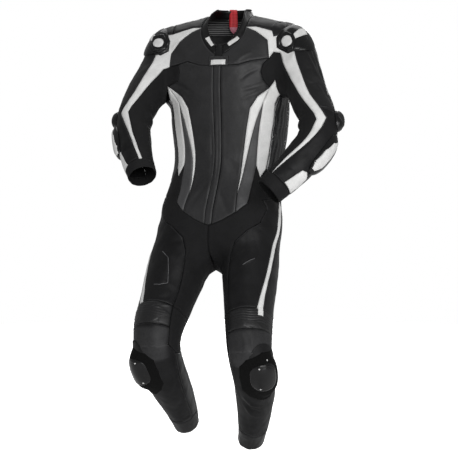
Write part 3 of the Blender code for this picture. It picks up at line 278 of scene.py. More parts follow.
@dataclass(frozen=True)
class Leather(Surface):
    """Cowhide with a dyed, pressed and lightly waxed grain side."""

    roughness: float = 0.46
    sheen: float = 0.36         # specular level: the wax is thin
    grain: float = 1.6          # a pebble of the grain is 0.5 to 1 mm: drawn coarser to show
    mottle: float = 42.0        # patches where the hide took more wax
    clouds: float = 4.5         # finer clouds of the dye
    crumple: float = 12.0       # fine creasing from wear
    relief: float = 0.14        # depth of a pebble
    thread: str = "#3a3a3b"     # topstitching, beside each seam
    seam: float = 0.42          # how dark the painted shade in the fold at a seam is
    fold: float = 2.0           # how far from the edge that painted shade reaches
    inset: float = 2.9          # from the edge to the topstitching
    needle: float = 0.45        # half the width of a row of it
    stitch: float = 2.0         # half of a stitch with its gap, 3 mm in all: drawn coarser to show
    gap: float = 0.55           # how much of that half is the gap
    painted_knee_sheen: str = "#333334"   # a lighter tone painted on the knee covers for their sheen
    rub: float = 0.32           # how strongly the grain and creases show in the light
    duller: float = 0.07        # how much the patches add to the roughness, and take from it
    shinier: float = 0.05
    stitched: bool = True

    def make(self) -> bpy.types.Material:
        """A soft sheen that breaks over the pebbles, with patches a little duller or lighter."""
        graph = Graph(self.name)
        patches = graph.noise(to_metre(self.mottle), 3.0, {"Roughness": 0.55})
        blend = graph.math("MULTIPLY_ADD", graph.noise(to_metre(self.clouds)), 0.5, patches)
        colour = graph.tones(blend, self.dark, self.light, 0.56, 0.96)
        # painted sheen: the knee covers, marked by the waxed attribute, get a lighter tone that stands in for
        # their highlight
        colour = graph.mix(graph.math("MULTIPLY", graph.attribute("waxed"), blend), colour, self.painted_knee_sheen)
        edge = graph.attribute("edge_mm")
        # painted shade: the colour darkens towards each edge and sewn line, for the shadow in the fold of the
        # seam
        colour = graph.shade(colour, graph.spread(edge, (0.0, self.fold), (self.seam, 1.0)))
        pebbles = graph.cells(self.grain, {"feature": "SMOOTH_F1", "Smoothness": 0.4})
        folds = graph.noise(to_metre(self.crumple), 4.0, {"Roughness": 0.6, "Distortion": 0.8})
        height = graph.math("MULTIPLY_ADD", pebbles, -self.relief, folds)
        if self.stitched:
            beside = graph.math("COMPARE", edge, self.inset, self.needle)
            dash = graph.math("PINGPONG", graph.attribute("along_mm"), self.stitch)
            thread = graph.math("MULTIPLY", beside, graph.math("GREATER_THAN", dash, self.gap))
            colour = graph.mix(thread, colour, self.thread)
            height = graph.math("MULTIPLY_ADD", beside, -0.5, height)
        gloss = graph.spread(patches, (0.3, 0.7),
                             (self.roughness + self.duller, self.roughness - self.shinier))
        return graph.finish(colour, gloss, self.sheen, (height, self.rub, 0.9), {"IOR": 1.48})


@dataclass(frozen=True)
class StretchKnit(Surface):
    """Aramid and polyamide knit: matt, with level wales a stitch apart."""

    pitch: float = 2.4          # a wale is 0.8 mm: drawn coarser so that it shows
    fuzz: float = 1.6           # loose fibres
    patches: float = 22.0       # of the dye, to the metre
    roughness: float = 0.82

    def make(self) -> bpy.types.Material:
        """A flat black that takes no highlight, with a faint level grain."""
        graph = Graph(self.name)
        wales = graph.bands(self.pitch, "Z", {"Distortion": 0.6, "Detail": 2.0, "Detail Scale": 2.0})
        colour = graph.tones(graph.noise(self.patches, 3.0), self.dark, self.light, 0.32, 0.7)
        height = graph.math("MULTIPLY_ADD", wales, 0.6, graph.noise(to_metre(self.fuzz)))
        return graph.finish(colour, self.roughness, 0.25, (height, 0.5, 0.5))


@dataclass(frozen=True)
class MeshLining(Surface):
    """Spacer mesh: polyester net in level rows with dark gaps between them."""

    pitch: float = 6.5          # rows are 3 mm apart: drawn coarser so that they show
    hole: float = 2.2           # a hole of the net

    def make(self) -> bpy.types.Material:
        """Grey rows over black, with no sheen."""
        graph = Graph(self.name)
        rows = graph.bands(self.pitch, "Z", {"Distortion": 0.3})
        lit = graph.math("MULTIPLY_ADD", graph.cells(self.hole), -0.35, rows)
        return graph.finish(graph.tones(lit, self.dark, self.light, 0.15, 0.6), 0.8, relief=(lit, 0.6, 0.6))


@dataclass(frozen=True)
class Webbing(Surface):
    """Woven polyester tape, its ribs across its length."""

    tip: str
    tip_at: float               # height in metres under which the folded tip is paler
    pitch: float = 4.4          # a rib is 1 mm: drawn coarser so that it shows
    cord: float = 11.0          # from one of the lighter cords along the tape to the next

    def make(self) -> bpy.types.Material:
        """Bright ribs with a little sheen and a paler folded tip."""
        graph = Graph(self.name)
        ribs = graph.bands(self.pitch)
        both = graph.math("MULTIPLY_ADD", graph.bands(self.cord, "X"), 0.7, ribs)
        colour = graph.tones(both, self.dark, self.light, 0.2, 1.0)
        height = add(graph.tree, "SeparateXYZ", links={"Vector": graph.spot}).outputs["Z"]
        colour = graph.mix(graph.math("LESS_THAN", height, self.tip_at), colour, self.tip)
        return graph.finish(colour, 0.55, relief=(ribs, 0.5, 0.4))


@dataclass(frozen=True)
class Moulded(Surface):
    """Injection-moulded polyurethane or ABS, glossy from the tool, with rubbed patches."""

    roughness: float = 0.24
    rubbed: float = 0.16        # how much duller the rubbed patches are
    relief: float = 0.25        # moulding sink and scuffs
    scuff: float = 5.0          # size of a scuff
    patches: float = 55.0       # of wear, to the metre
    gloss: float = 0.5          # specular level

    def make(self) -> bpy.types.Material:
        """Hard small highlights, broken where the surface is rubbed."""
        graph = Graph(self.name)
        patches = graph.noise(self.patches, 5.0, {"Roughness": 0.6})
        colour = graph.tones(patches, self.dark, self.light, 0.35, 0.75)
        dull = graph.spread(patches, (0.35, 0.7), (self.roughness, self.roughness + self.rubbed))
        height = graph.noise(to_metre(self.scuff), 4.0)
        return graph.finish(colour, dull, self.gloss, (height, self.relief, 0.4), {"IOR": 1.5})


@dataclass(frozen=True)
class HookAndLoop(Surface):
    """Hook-and-loop tape, the brushed loop side out."""

    loop: float = 2.0           # a loop is 0.5 mm: drawn coarser so that it shows

    def make(self) -> bpy.types.Material:
        """A dead black pile with a fine broken surface."""
        graph = Graph(self.name)
        pile = graph.noise(to_metre(self.loop), 3.0, {"Roughness": 0.7})
        colour = graph.tones(pile, self.dark, self.light, 0.35, 0.75)
        return graph.finish(colour, 0.95, 0.15, (pile, 0.9, 0.8))


@dataclass(frozen=True)
class Metal(Surface):
    """Die-cast zinc with a dark plated finish."""

    roughness: float = 0.32
    patches: float = 300.0      # of the plating, to the metre

    def make(self) -> bpy.types.Material:
        """Small grey glints."""
        graph = Graph(self.name)
        colour = graph.tones(graph.noise(self.patches, 3.0), self.dark, self.light, 0.3, 0.7)
        return graph.finish(colour, self.roughness, more={"Metallic": 1.0})


class Finish(Enum):
    """The finishes of the suit."""

    BODY = Leather("cowhide, dyed black and waxed by hand", "#212122", "#2a2a2b", sheen=0.30)
    LEG = Leather("cowhide, dyed black and pressed", "#111112", "#19191a", roughness=0.50, sheen=0.17,
                  rub=0.45)
    SLEEVE = Leather("cowhide, dyed black and waxed", "#111112", "#19191a", roughness=0.42, sheen=0.26,
                     crumple=17.0, rub=0.55)
    GREY = Leather("cowhide, dyed grey and pressed", "#414142", "#4c4c4d", sheen=0.25,
                   thread="#5a5a5b", seam=0.6)
    WHITE = Leather("cowhide, pigmented white", "#d3d3d2", "#e3e3e2", roughness=0.5, grain=2.4,
                    relief=0.3, thread="#bcbcbb", seam=0.75)
    # the ridges' light grey is painted highlight along their crest, over rubbed wear of the leather
    RIDGE = Leather("cowhide, pressed into a ridge and rubbed", "#565658", "#6a6a6c", stitched=False,
                    seam=1.0)
    RIBBED = Leather("cowhide, shirred over elastic", "#121213", "#1d1d1f", roughness=0.27, sheen=0.75,
                     stitched=False)
    CREASED = Leather("cowhide, shirred and stitched level", "#151516", "#1c1c1d", roughness=0.44,
                      stitched=False)
    KNIT = StretchKnit("stretch aramid knit", "#101011", "#151516")
    LINING = MeshLining("spacer mesh, woven in rows", "#262626", "#7c7c7c")
    RED = Webbing("polyester webbing, woven red", "#a80a1a", "#e0303a", "#e08a9c", -0.013)
    TAPE = StretchKnit("polyester zip tape, woven", "#0b0b0c", "#121213", pitch=1.6, roughness=0.7)
    BINDING = StretchKnit("polyester binding, woven", "#0d0d0e", "#141415", pitch=1.6, roughness=0.6)
    PLASTIC = Moulded("polyurethane, injection moulded glossy", "#070708", "#0e0e0f", roughness=0.17,
                      rubbed=0.12, gloss=0.36)
    SCUFFED = Moulded("polyurethane, injection moulded satin", "#161617", "#222223", roughness=0.40,
                      gloss=0.35)
    WHITE_PLASTIC = Moulded("polyurethane, moulded white", "#cdcdcc", "#dcdcdb", roughness=0.38, gloss=0.3)
    LOOPS = HookAndLoop("hook-and-loop tape, brushed", "#060606", "#101010")
    LABEL = StretchKnit("woven label tape, blank white", "#cfcfce", "#dededd", pitch=1.6, roughness=0.6)
    TEETH = Metal("zinc, die cast and plated dark", "#4a4a4c", "#77777a")

    @property
    def material(self) -> bpy.types.Material:
        """The finish's material, made at its first use."""
        return bpy.data.materials.get(self.value.name) or self.value.make()


# ---- lines down the middle of the trunk and limbs -----------------------------------------
@dataclass(frozen=True)
class Middle:
    """The line down the middle of the trunk or a limb.

    A place on the suit is a station, counted along the stops, and a turn in degrees:
    0 is the outer side, 90 the front and 180 the inner side.
    """

    side: int
    stops: tuple[Triple, ...]       # metres

    def ways(self) -> tuple[np.ndarray, np.ndarray, np.ndarray]:
        """The stops with their own directions.

        Returns:
            The stops, and the ways outward and forward at each.
        """
        stops = np.array(self.stops)
        along = np.gradient(stops, axis=0)
        along /= np.linalg.norm(along, axis=1, keepdims=True)
        outward = np.array([self.side, 0.0, 0.0]) - along * (along[:, :1] * self.side)
        outward /= np.linalg.norm(outward, axis=1, keepdims=True)
        return stops, outward, self.side * np.cross(along, outward)

    def look(self, station: float, turn: float) -> tuple[Vector, Vector]:
        """Find a place on the suit from inside it.

        Args:
            station: how far down the line, counted in stops.
            turn: round the line, in degrees.

        Returns:
            The point on the line, in metres, and the way from it to the place.
        """
        numbers = np.arange(len(self.stops))
        centre, out, front = (np.array([np.interp(station, numbers, rows[:, c]) for c in range(3)])
                              for rows in self.ways())
        way = math.cos(math.radians(turn)) * out + math.sin(math.radians(turn)) * front
        return Vector(centre), Vector(way).normalized()

    def locate(self, points: np.ndarray) -> tuple[np.ndarray, np.ndarray]:
        """Station and turn of points.

        Args:
            points: one a row, in metres.

        Returns:
            Stations and turns in degrees.
        """
        stops, out, front = self.ways()
        run = np.diff(stops, axis=0)
        rel = points[:, None, :] - stops[None, :-1]
        share = np.clip((rel * run).sum(2) / (run ** 2).sum(1), 0, 1)
        gap = ((rel - share[..., None] * run) ** 2).sum(2)
        best = gap.argmin(1)
        rows = np.arange(len(points))
        share = share[rows, best]
        centre = stops[best] + share[:, None] * run[best]
        outward = out[best] * (1 - share[:, None]) + out[best + 1] * share[:, None]
        forward = front[best] * (1 - share[:, None]) + front[best + 1] * share[:, None]
        away = points - centre
        return best + share, np.degrees(np.arctan2((away * forward).sum(1), (away * outward).sum(1)))


MIDDLES = {
    "trunk": Middle(1, ((0.006, 0.036, 0.030), (0.006, 0.034, 0.020), (0.006, 0.031, 0.010),
                        (0.005, 0.027, -0.004), (0.004, 0.021, -0.026), (0.004, 0.016, -0.060),
                        (0.003, 0.010, -0.120), (0.004, 0.004, -0.200), (0.007, 0, -0.310),
                        (0.008, -0.012, -0.415), (0.002, -0.030, -0.500), (-0.006, -0.044, -0.570),
                        (-0.008, -0.052, -0.640), (-0.006, -0.056, -0.690), (-0.005, -0.058, -0.718))),
    "arm_left": Middle(1, ((0.140, 0.020, -0.060), (0.199, 0.010, -0.079), (0.235, -0.035, -0.158),
                           (0.274, -0.085, -0.235), (0.309, -0.125, -0.302), (0.308, -0.163, -0.365),
                           (0.258, -0.206, -0.438), (0.196, -0.250, -0.505))),
    "arm_right": Middle(-1, ((-0.140, 0.020, -0.061), (-0.187, 0.012, -0.080), (-0.212, -0.035, -0.160),
                             (-0.235, -0.095, -0.230), (-0.242, -0.148, -0.290), (-0.230, -0.195, -0.341),
                             (-0.203, -0.247, -0.402), (-0.166, -0.296, -0.462))),
    "leg_left": Middle(1, ((0.060, -0.030, -0.460), (0.074, -0.050, -0.560), (0.088, -0.065, -0.650),
                           (0.106, -0.125, -0.750), (0.122, -0.190, -0.840), (0.136, -0.240, -0.910),
                           (0.144, -0.258, -0.960), (0.149, -0.240, -1.020), (0.141, -0.190, -1.090),
                           (0.120, -0.130, -1.180), (0.096, -0.080, -1.258))),
    "leg_right": Middle(-1, ((-0.068, -0.030, -0.460), (-0.083, -0.050, -0.560), (-0.100, -0.065, -0.650),
                             (-0.118, -0.130, -0.745), (-0.130, -0.195, -0.835), (-0.135, -0.250, -0.905),
                             (-0.134, -0.267, -0.955), (-0.126, -0.250, -1.015), (-0.117, -0.200, -1.080),
                             (-0.108, -0.140, -1.150), (-0.103, -0.090, -1.220))),
}


# ---- creases ------------------------------------------------------------------------------
@dataclass(frozen=True)
class Crease:
    """A soft trough or ridge laid along a path of places."""

    path: Path
    rise: float                 # minus is a trough
    width: float                # half width


BOTH_LEGS = (
    # hips and seat
    Crease(((2.2, 124), (2.45, 106), (2.6, 84)), -2.4, 12),
    Crease(((2.7, 150), (2.9, 130), (3.0, 112)), -1.8, 10),
    # backs of the knees and calves
    Crease(((5.2, -50), (5.3, -90), (5.2, -130)), -2.6, 9),
    Crease(((5.75, -46), (5.85, -90), (5.8, -134)), -3.0, 9),
    Crease(((6.4, -50), (6.45, -90), (6.35, -130)), -2.4, 9),
)
CREASES: dict[str, tuple[Crease, ...]] = {
    "trunk": (
        # chest, from the armpits and the collar
        Crease(((7.2, 60), (7.1, 46), (7.0, 33)), -3.4, 6),
        Crease(((7.45, 60), (7.3, 46), (7.15, 32)), 3.0, 5),
        Crease(((6.9, 62), (6.6, 50), (6.4, 38)), -3.0, 6),
        Crease(((6.3, 70), (6.0, 56), (5.8, 46)), 2.4, 5),
        Crease(((7.25, 122), (7.05, 136), (6.9, 150)), -3.0, 6),
        Crease(((7.45, 130), (7.2, 143), (7.05, 154)), 2.0, 8),
        Crease(((6.75, 116), (6.45, 130), (6.25, 140)), -2.4, 6),
        # belly
        Crease(((7.41, 97), (8.87, 99.5), (10.84, 94)), -2.2, 3),
        Crease(((7.42, 90.4), (8.87, 92.9), (10.82, 87.6)), 1.6, 4),
        Crease(((10.2, 84), (10.9, 70), (11.3, 62)), -2.2, 9),
        Crease(((10.0, 99), (10.8, 112), (11.2, 118)), -1.6, 10),
        Crease(((9.2, 80), (9.9, 72)), 1.0, 12),
        Crease(((8.4, 104), (9.3, 110)), 1.0, 14),
        # back of the waist
        Crease(((9.2, -50), (9.45, -85), (9.3, -128)), -2.8, 13),
        Crease(((9.9, -55), (10.1, -92), (9.9, -124)), -2.2, 12),
        Crease(((8.4, -62), (8.7, -90), (8.5, -115)), -1.6, 14),
        Crease(((7.2, -40), (6.6, -62)), -2.2, 11),
        Crease(((7.2, -140), (6.6, -118)), -2.2, 11),
    ),
    "arm_left": (
        Crease(((1.56, 61), (2.1, 50), (2.64, 41)), 3.2, 5),
        Crease(((1.46, 44), (1.8, 38), (2.2, 31)), 3.0, 5),
        Crease(((1.7, 34), (2.2, 24), (2.9, 22)), -3.0, 7),
        Crease(((2.2, 12), (2.8, 20), (3.4, 34)), 2.8, 6),
        Crease(((2.6, -4), (3.1, 8), (3.6, 26)), -2.6, 6),
        Crease(((2.9, 44), (3.4, 30), (3.7, 12)), -1.8, 8),
        Crease(((3.6, 150), (3.9, 180), (4.1, 215)), -3.0, 9),
        Crease(((4.2, 140), (4.3, 170), (4.25, 220)), 2.4, 8),
        Crease(((4.5, 130), (4.6, 170), (4.5, 214)), -2.8, 8),
        Crease(((4.9, 145), (4.9, 180), (4.8, 210)), 1.8, 8),
        Crease(((3.5, -20), (3.8, -42), (3.9, -70)), -2.0, 9),
        Crease(((4.7, -30), (4.6, -55), (4.5, -80)), -2.0, 9),
        Crease(((5.1, 70), (5.5, 60), (5.9, 66)), -1.0, 9),
        Crease(((6.1, 40), (6.2, 75), (6.15, 110)), -1.4, 6),
        Crease(((6.6, 20), (6.65, 80), (6.6, 150)), -1.2, 5),
        Crease(((2.0, 140), (2.5, 160), (2.6, 190)), -1.8, 10),
    ),
    "arm_right": (
        Crease(((1.7, 32), (2.3, 24), (3.0, 26)), -2.0, 8),
        Crease(((2.1, 10), (2.7, 8), (3.3, 18)), 1.6, 8),
        Crease(((3.6, 150), (3.85, 180), (4.0, 215)), -3.0, 9),
        Crease(((4.15, 140), (4.25, 170), (4.2, 220)), 2.2, 8),
        Crease(((4.5, 135), (4.55, 170), (4.5, 214)), -2.6, 8),
        Crease(((5.0, 145), (5.0, 175), (4.9, 205)), 1.6, 8),
        Crease(((3.4, -20), (3.7, -42), (3.8, -70)), -2.0, 9),
        Crease(((4.8, -30), (4.7, -55), (4.6, -80)), -1.8, 9),
        Crease(((5.2, 40), (5.6, 60), (5.9, 84)), -1.0, 9),
        Crease(((6.05, 40), (6.1, 80), (6.05, 120)), -1.3, 6),
        Crease(((6.6, 20), (6.65, 80), (6.6, 150)), -1.2, 5),
    ),
    "leg_left": (
        # hips and seat
        Crease(((2.6, -60), (2.8, -92), (2.7, -130)), -2.6, 13),
        Crease(((3.2, -70), (3.4, -100), (3.3, -125)), -1.8, 12),
        # thigh: a light pressed line
        Crease(((3.19, 90), (3.08, 78), (3.0, 68)), 2.4, 3),
        Crease(((3.9, 120), (4.2, 100), (4.35, 76)), -1.0, 10),
        # knee covers: pressed triangle, and its lower edge
        Crease(((5.28, 92), (5.6, 84), (5.86, 86)), 2.2, 6),
        Crease(((5.28, 66), (5.6, 70), (5.86, 66)), 1.8, 6),
        Crease(((6.02, 112), (6.10, 84), (6.04, 58)), -2.2, 5),
        # shins and ankles
        Crease(((7.55, 108), (7.9, 86), (8.05, 56)), 3.4, 5),
        Crease(((7.72, 112), (8.08, 90), (8.25, 60)), -3.4, 6),
        Crease(((7.95, 114), (8.3, 90), (8.45, 64)), 2.6, 5),
        Crease(((9.2, 130), (9.35, 90), (9.2, 40)), -1.2, 7),
        # backs of the knees and calves
        Crease(((8.2, -60), (8.35, -92), (8.2, -124)), -1.6, 9),
    ) + BOTH_LEGS,
    "leg_right": (
        # hips and seat
        Crease(((2.6, -60), (2.85, -92), (2.7, -130)), -2.6, 13),
        Crease(((3.3, -70), (3.5, -100), (3.4, -125)), -1.8, 12),
        # thigh: round a pressed pad
        Crease(((2.94, 75), (3.12, 91), (3.45, 98), (3.83, 105), (3.92, 90), (3.93, 74)), -2.2, 3),
        Crease(((4.2, 120), (4.35, 96), (4.36, 70)), -1.4, 8),
        # knee covers: pressed triangle, and its lower edge
        Crease(((5.28, 82), (5.6, 78), (5.86, 80)), 2.2, 6),
        Crease(((5.28, 58), (5.6, 62), (5.86, 58)), 1.8, 6),
        Crease(((6.02, 122), (6.10, 94), (6.04, 66)), -2.2, 5),
        # shins and ankles
        Crease(((7.3, 150), (7.6, 128), (7.9, 112)), -1.4, 9),
        Crease(((8.2, 140), (8.5, 116), (8.6, 90)), -1.2, 10),
        Crease(((9.1, 140), (9.25, 96), (9.1, 50)), -1.2, 7),
        # backs of the knees and calves
        Crease(((8.1, -60), (8.3, -92), (8.15, -124)), -1.6, 9),
    ) + BOTH_LEGS,
}


# ---- the cut list -------------------------------------------------------------------------
class Ribs(Enum):
    """How a piece of cloth is ribbed."""

    NONE = 0
    UPRIGHT = 1                 # wavy pleats down the panel under the arm
    LEVEL = 2                   # shirred rows across the knee


@dataclass(frozen=True)
class Cut:
    """A piece that was cut and sewn: how long and wide it was on the table, and its flat area."""

    kind: str
    line: str
    finish: Finish
    slot: str
    width: float
    length: float
    area: float                 # square centimetres
    ribs: Ribs = Ribs.NONE
    wall: float = WALL
    pair: bool = True
    steps: int = 3              # how often each edge is halved
    held: str = "stretched"

    def nodes(self) -> list[tuple[str, str]]:
        """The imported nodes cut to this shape, each with the line it is counted from."""
        if not self.pair:
            return [(self.kind, self.line)]
        line = self.line if self.line == "trunk" else self.line + "_{}"
        return [(f"{self.kind}_{s}", line.format(s)) for s in ("left", "right")]


BLACK, KNITTED, WHITE, HARD = "black_leather", "stretch_textile", "white_leather", "black_plastic"
CUTS = (
    Cut("back", "trunk", Finish.BODY, BLACK, 436, 418, 1240, pair=False),
    Cut("back_yoke", "trunk", Finish.SLEEVE, BLACK, 800, 242, 963, pair=False),
    Cut("front", "trunk", Finish.BODY, BLACK, 156, 485, 392),
    Cut("yoke_front", "trunk", Finish.BODY, BLACK, 153, 121, 114),
    Cut("flank", "trunk", Finish.GREY, "grey_leather", 44, 322, 82),
    Cut("stripe_front", "trunk", Finish.WHITE, WHITE, 50, 312, 50),
    Cut("stripe_side", "trunk", Finish.WHITE, WHITE, 47, 278, 98),
    Cut("side_stretch", "trunk", Finish.RIBBED, KNITTED, 139, 346, 459, ribs=Ribs.UPRIGHT, steps=2),
    Cut("sleeve_outer", "arm", Finish.SLEEVE, BLACK, 203, 313, 622),
    Cut("sleeve_inner", "arm", Finish.KNIT, KNITTED, 168, 505, 539),
    Cut("stripe_arm", "arm", Finish.WHITE, WHITE, 60, 558, 166),
    Cut("forearm_outer", "arm", Finish.LEG, BLACK, 176, 230, 400),
    Cut("cuff", "arm", Finish.KNIT, BLACK, 262, 38, 96),
    Cut("hip_stretch", "leg", Finish.KNIT, KNITTED, 180, 473, 460),
    Cut("seat", "leg", Finish.LEG, BLACK, 175, 425, 731),
    Cut("thigh", "leg", Finish.LEG, BLACK, 147, 386, 386),
    Cut("stripe_thigh", "leg", Finish.WHITE, WHITE, 41, 386, 67),
    Cut("thigh_side", "leg", Finish.SLEEVE, BLACK, 130, 405, 495),
    Cut("knee_stretch", "leg", Finish.CREASED, BLACK, 262, 54, 139, ribs=Ribs.LEVEL),
    Cut("knee_back", "leg", Finish.KNIT, KNITTED, 420, 126, 181),
    Cut("shin", "leg", Finish.LEG, BLACK, 262, 320, 788),
    Cut("calf", "leg", Finish.SLEEVE, BLACK, 151, 292, 323),
    Cut("hem", "leg", Finish.SLEEVE, BLACK, 262, 64, 163),
    Cut("zip", "trunk", Finish.TAPE, "zip_tape", 30, 529, 115, pair=False, held="hung"),
    Cut("zip_flap", "trunk", Finish.BODY, BLACK, 30, 470, 101, pair=False, wall=THIN_WALL, held="hung"),
)


# Seams inside one cut, where two of its parts were sewn before it was sewn in: at the shoulders,
# over the knee covers, and at the inner calves with their zips.
SEWN_LINES: tuple[tuple[str, Path], ...] = (
    *[("trunk", ((1.3, turn), (3.0, turn), (4.4, turn))) for turn in (-8, 188)],
    *[(f"leg_{side}", ((5.9, -40), (5.9, 40), (5.9, 90), (5.9, 140))) for side in SIDES],
    *[(f"leg_{side}", ((7.32, -166), (8.3, -166), (9.3, -167))) for side in SIDES],
)


# ---- fine cloth ---------------------------------------------------------------------------
def groups_by_bend(bm: bmesh.types.BMesh) -> list[list[bmesh.types.BMFace]]:
    """Groups of faces that join with no sharp bend.

    Args:
        bm: the mesh, with its normals up to date.

    Returns:
        The groups, largest area first.
    """
    seen: set[int] = set()
    found = []
    for start in bm.faces:
        if start.index in seen:
            continue
        seen.add(start.index)
        queue, group = [start], []
        while queue:
            face = queue.pop()
            group.append(face)
            for edge in face.edges:
                if len(edge.link_faces) != 2 or edge.calc_face_angle() > SHARP_BEND:
                    continue
                for other in edge.link_faces:
                    if other.index not in seen:
                        seen.add(other.index)
                        queue.append(other)
        found.append(group)
    return sorted(found, key=lambda faces: -sum(f.calc_area() for f in faces))


def leans_out(faces: list[bmesh.types.BMFace], line: Middle) -> bool:
    """Whether a sheet's faces point away from the line down its middle.

    Args:
        faces: the sheet's faces.
        line: the line.

    Returns:
        True for the outer face of a wall.
    """
    centres = np.array([f.calc_center_median() for f in faces])
    normals = np.array([f.normal for f in faces])
    areas = np.array([f.calc_area() for f in faces])
    station, _ = line.locate(centres)
    stops = np.array(line.stops)
    numbers = np.arange(len(stops))
    middle = np.stack([np.interp(station, numbers, stops[:, c]) for c in range(3)], -1)
    return float((((centres - middle) * normals).sum(1) * areas).sum()) > 0


def merged_copy(node: str) -> bmesh.types.BMesh:
    """A node's mesh with its loose triangles joined.

    Args:
        node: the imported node.

    Returns:
        A new mesh.
    """
    bm = bmesh.new()
    bm.from_mesh(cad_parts[node].data)
    bmesh.ops.remove_doubles(bm, verts=bm.verts, dist=0.01 * MM)
    bm.normal_update()
    return bm


def one_sheet(node: str, line: Middle, wall: float, outer: bool) -> bmesh.types.BMesh:
    """One face of a wall of cloth, with the rim and the other face taken off.

    Args:
        node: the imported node.
        line: the middle that the wall goes round.
        wall: its thickness in millimetres, which is how wide its rim is.
        outer: whether the outer face is kept. The inner one is turned round and moved out.

    Returns:
        The open sheet, facing out.
    """
    bm = merged_copy(node)
    group = next(g for g in groups_by_bend(bm) if leans_out(g, line) == outer)
    kept = {f for f in group if all(abs(e.calc_length() - wall * MM) > 0.01 * MM for e in f.edges)}
    bmesh.ops.delete(bm, geom=[f for f in bm.faces if f not in kept], context="FACES")
    if not outer:
        bmesh.ops.reverse_faces(bm, faces=bm.faces)
        bm.normal_update()
        for vert in bm.verts:
            vert.co += vert.normal * wall * MM
    bm.normal_update()
    return bm


class Sheets:
    """All the open sheets, with normals that agree where two of them are sewn together."""

    def __init__(self) -> None:
        """Start with no sheets."""
        self.sheets: dict[str, bmesh.types.BMesh] = {}

    def put(self, name: str, bm: bmesh.types.BMesh) -> None:
        """Keep a sheet under its piece's name."""
        self.sheets[name] = bm

    def agree(self) -> None:
        """Bring corners that are sewn together to one place, with one normal."""
        places, ways, owners = [], [], []
        for name, bm in self.sheets.items():
            bm.verts.ensure_lookup_table()
            for vert in bm.verts:
                way = sum((f.normal * f.calc_area() for f in vert.link_faces), Vector())
                places.append(vert.co.copy())
                ways.append(way)
                owners.append((name, vert.index))
        tree = KDTree(len(places))
        for i, place in enumerate(places):
            tree.insert(place, i)
        tree.balance()
        for number, ((name, index), place, own) in enumerate(zip(owners, places, ways)):
            vert = self.sheets[name].verts[index]
            found = {name: number}
            if vert.is_boundary:
                for _, i, _ in tree.find_range(place, SEAM_REACH * MM):
                    if ways[i].dot(own) > 0:
                        found.setdefault(owners[i][0], i)
            vert.normal = sum((ways[i] for i in found.values()), Vector()).normalized()
            vert.co = sum((places[i] for i in found.values()), Vector()) / len(found)

    def surface(self) -> BVHTree:
        """Join all the sheets to place creases on.

        Returns:
            One tree over all their faces.
        """
        points, faces = [], []
        for bm in self.sheets.values():
            bm.verts.index_update()
            base = len(points)
            points += [v.co.copy() for v in bm.verts]
            faces += [[v.index + base for v in f.verts] for f in bm.faces]
        return BVHTree.FromPolygons(points, faces)


def make_fine(bm: bmesh.types.BMesh, steps: int) -> None:
    """Halve every edge a few times and round the sheet between its corners' normals.

    Each corner's tangent plane is carried to the new points as its weighted sum, so a new
    point moves to the mean of its feet on the three planes round it.

    Args:
        bm: the open sheet, with the normals that its corners should have.
        steps: how often each edge is halved.
    """
    layers = [bm.verts.layers.float_vector.new(n) for n in ("way", "square", "cross", "foot")]
    for vert in bm.verts:
        n = vert.normal
        values = (n, Vector((n.x * n.x, n.y * n.y, n.z * n.z)),
                  Vector((n.x * n.y, n.x * n.z, n.y * n.z)), n * vert.co.dot(n))
        for layer, value in zip(layers, values):
            vert[layer] = value
    for _ in range(steps):
        bmesh.ops.subdivide_edges(bm, edges=bm.edges, cuts=1, use_grid_fill=True)


def fetch(data: bpy.types.bpy_prop_collection, key: str, width: int = 3) -> np.ndarray:
    """Read numbers of all the items of a mesh's collection.

    Args:
        data: such as the mesh's vertices.
        key: what is read.
        width: how many numbers an item has.

    Returns:
        One row an item.
    """
    values = np.zeros(len(data) * width)
    data.foreach_get(key, values)
    return values.reshape(-1, width)


def places_of(mesh: bpy.types.Mesh) -> np.ndarray:
    """The points of a mesh, one a row, in metres."""
    return fetch(mesh.vertices, "co")


def move_to(mesh: bpy.types.Mesh, points: np.ndarray) -> None:
    """Set a mesh's points."""
    mesh.vertices.foreach_set("co", np.ascontiguousarray(points, np.float32).ravel())
    mesh.update()


def rounded(mesh: bpy.types.Mesh) -> tuple[np.ndarray, np.ndarray]:
    """Move a fine sheet's points to the curve between its corners' normals.

    Args:
        mesh: a sheet from make_fine. It loses the attributes that make_fine gave it.

    Returns:
        The points, and the ways outward there.
    """
    flat = places_of(mesh)
    way, square, cross, foot = (fetch(mesh.attributes[n].data, "vector")
                                for n in ("way", "square", "cross", "foot"))
    x, y, z = flat.T
    drop = np.stack([square[:, 0] * x + cross[:, 0] * y + cross[:, 1] * z,
                     cross[:, 0] * x + square[:, 1] * y + cross[:, 2] * z,
                     cross[:, 1] * x + cross[:, 2] * y + square[:, 2] * z], -1) - foot
    way /= np.maximum(np.linalg.norm(way, axis=1, keepdims=True), 1e-9)
    for name in ("way", "square", "cross", "foot"):
        mesh.attributes.remove(mesh.attributes[name])
    return flat - ROUNDNESS * drop, way


def open_edge(mesh: bpy.types.Mesh) -> np.ndarray:
    """The open edge of a sheet.

    Args:
        mesh: the sheet.

    Returns:
        The pairs of points whose edge has one face.
    """
    pairs = fetch(mesh.edges, "vertices", 2).astype(int)
    uses = fetch(mesh.loops, "edge_index", 1).astype(int).ravel()
    return pairs[np.bincount(uses, minlength=len(mesh.edges)) == 1]


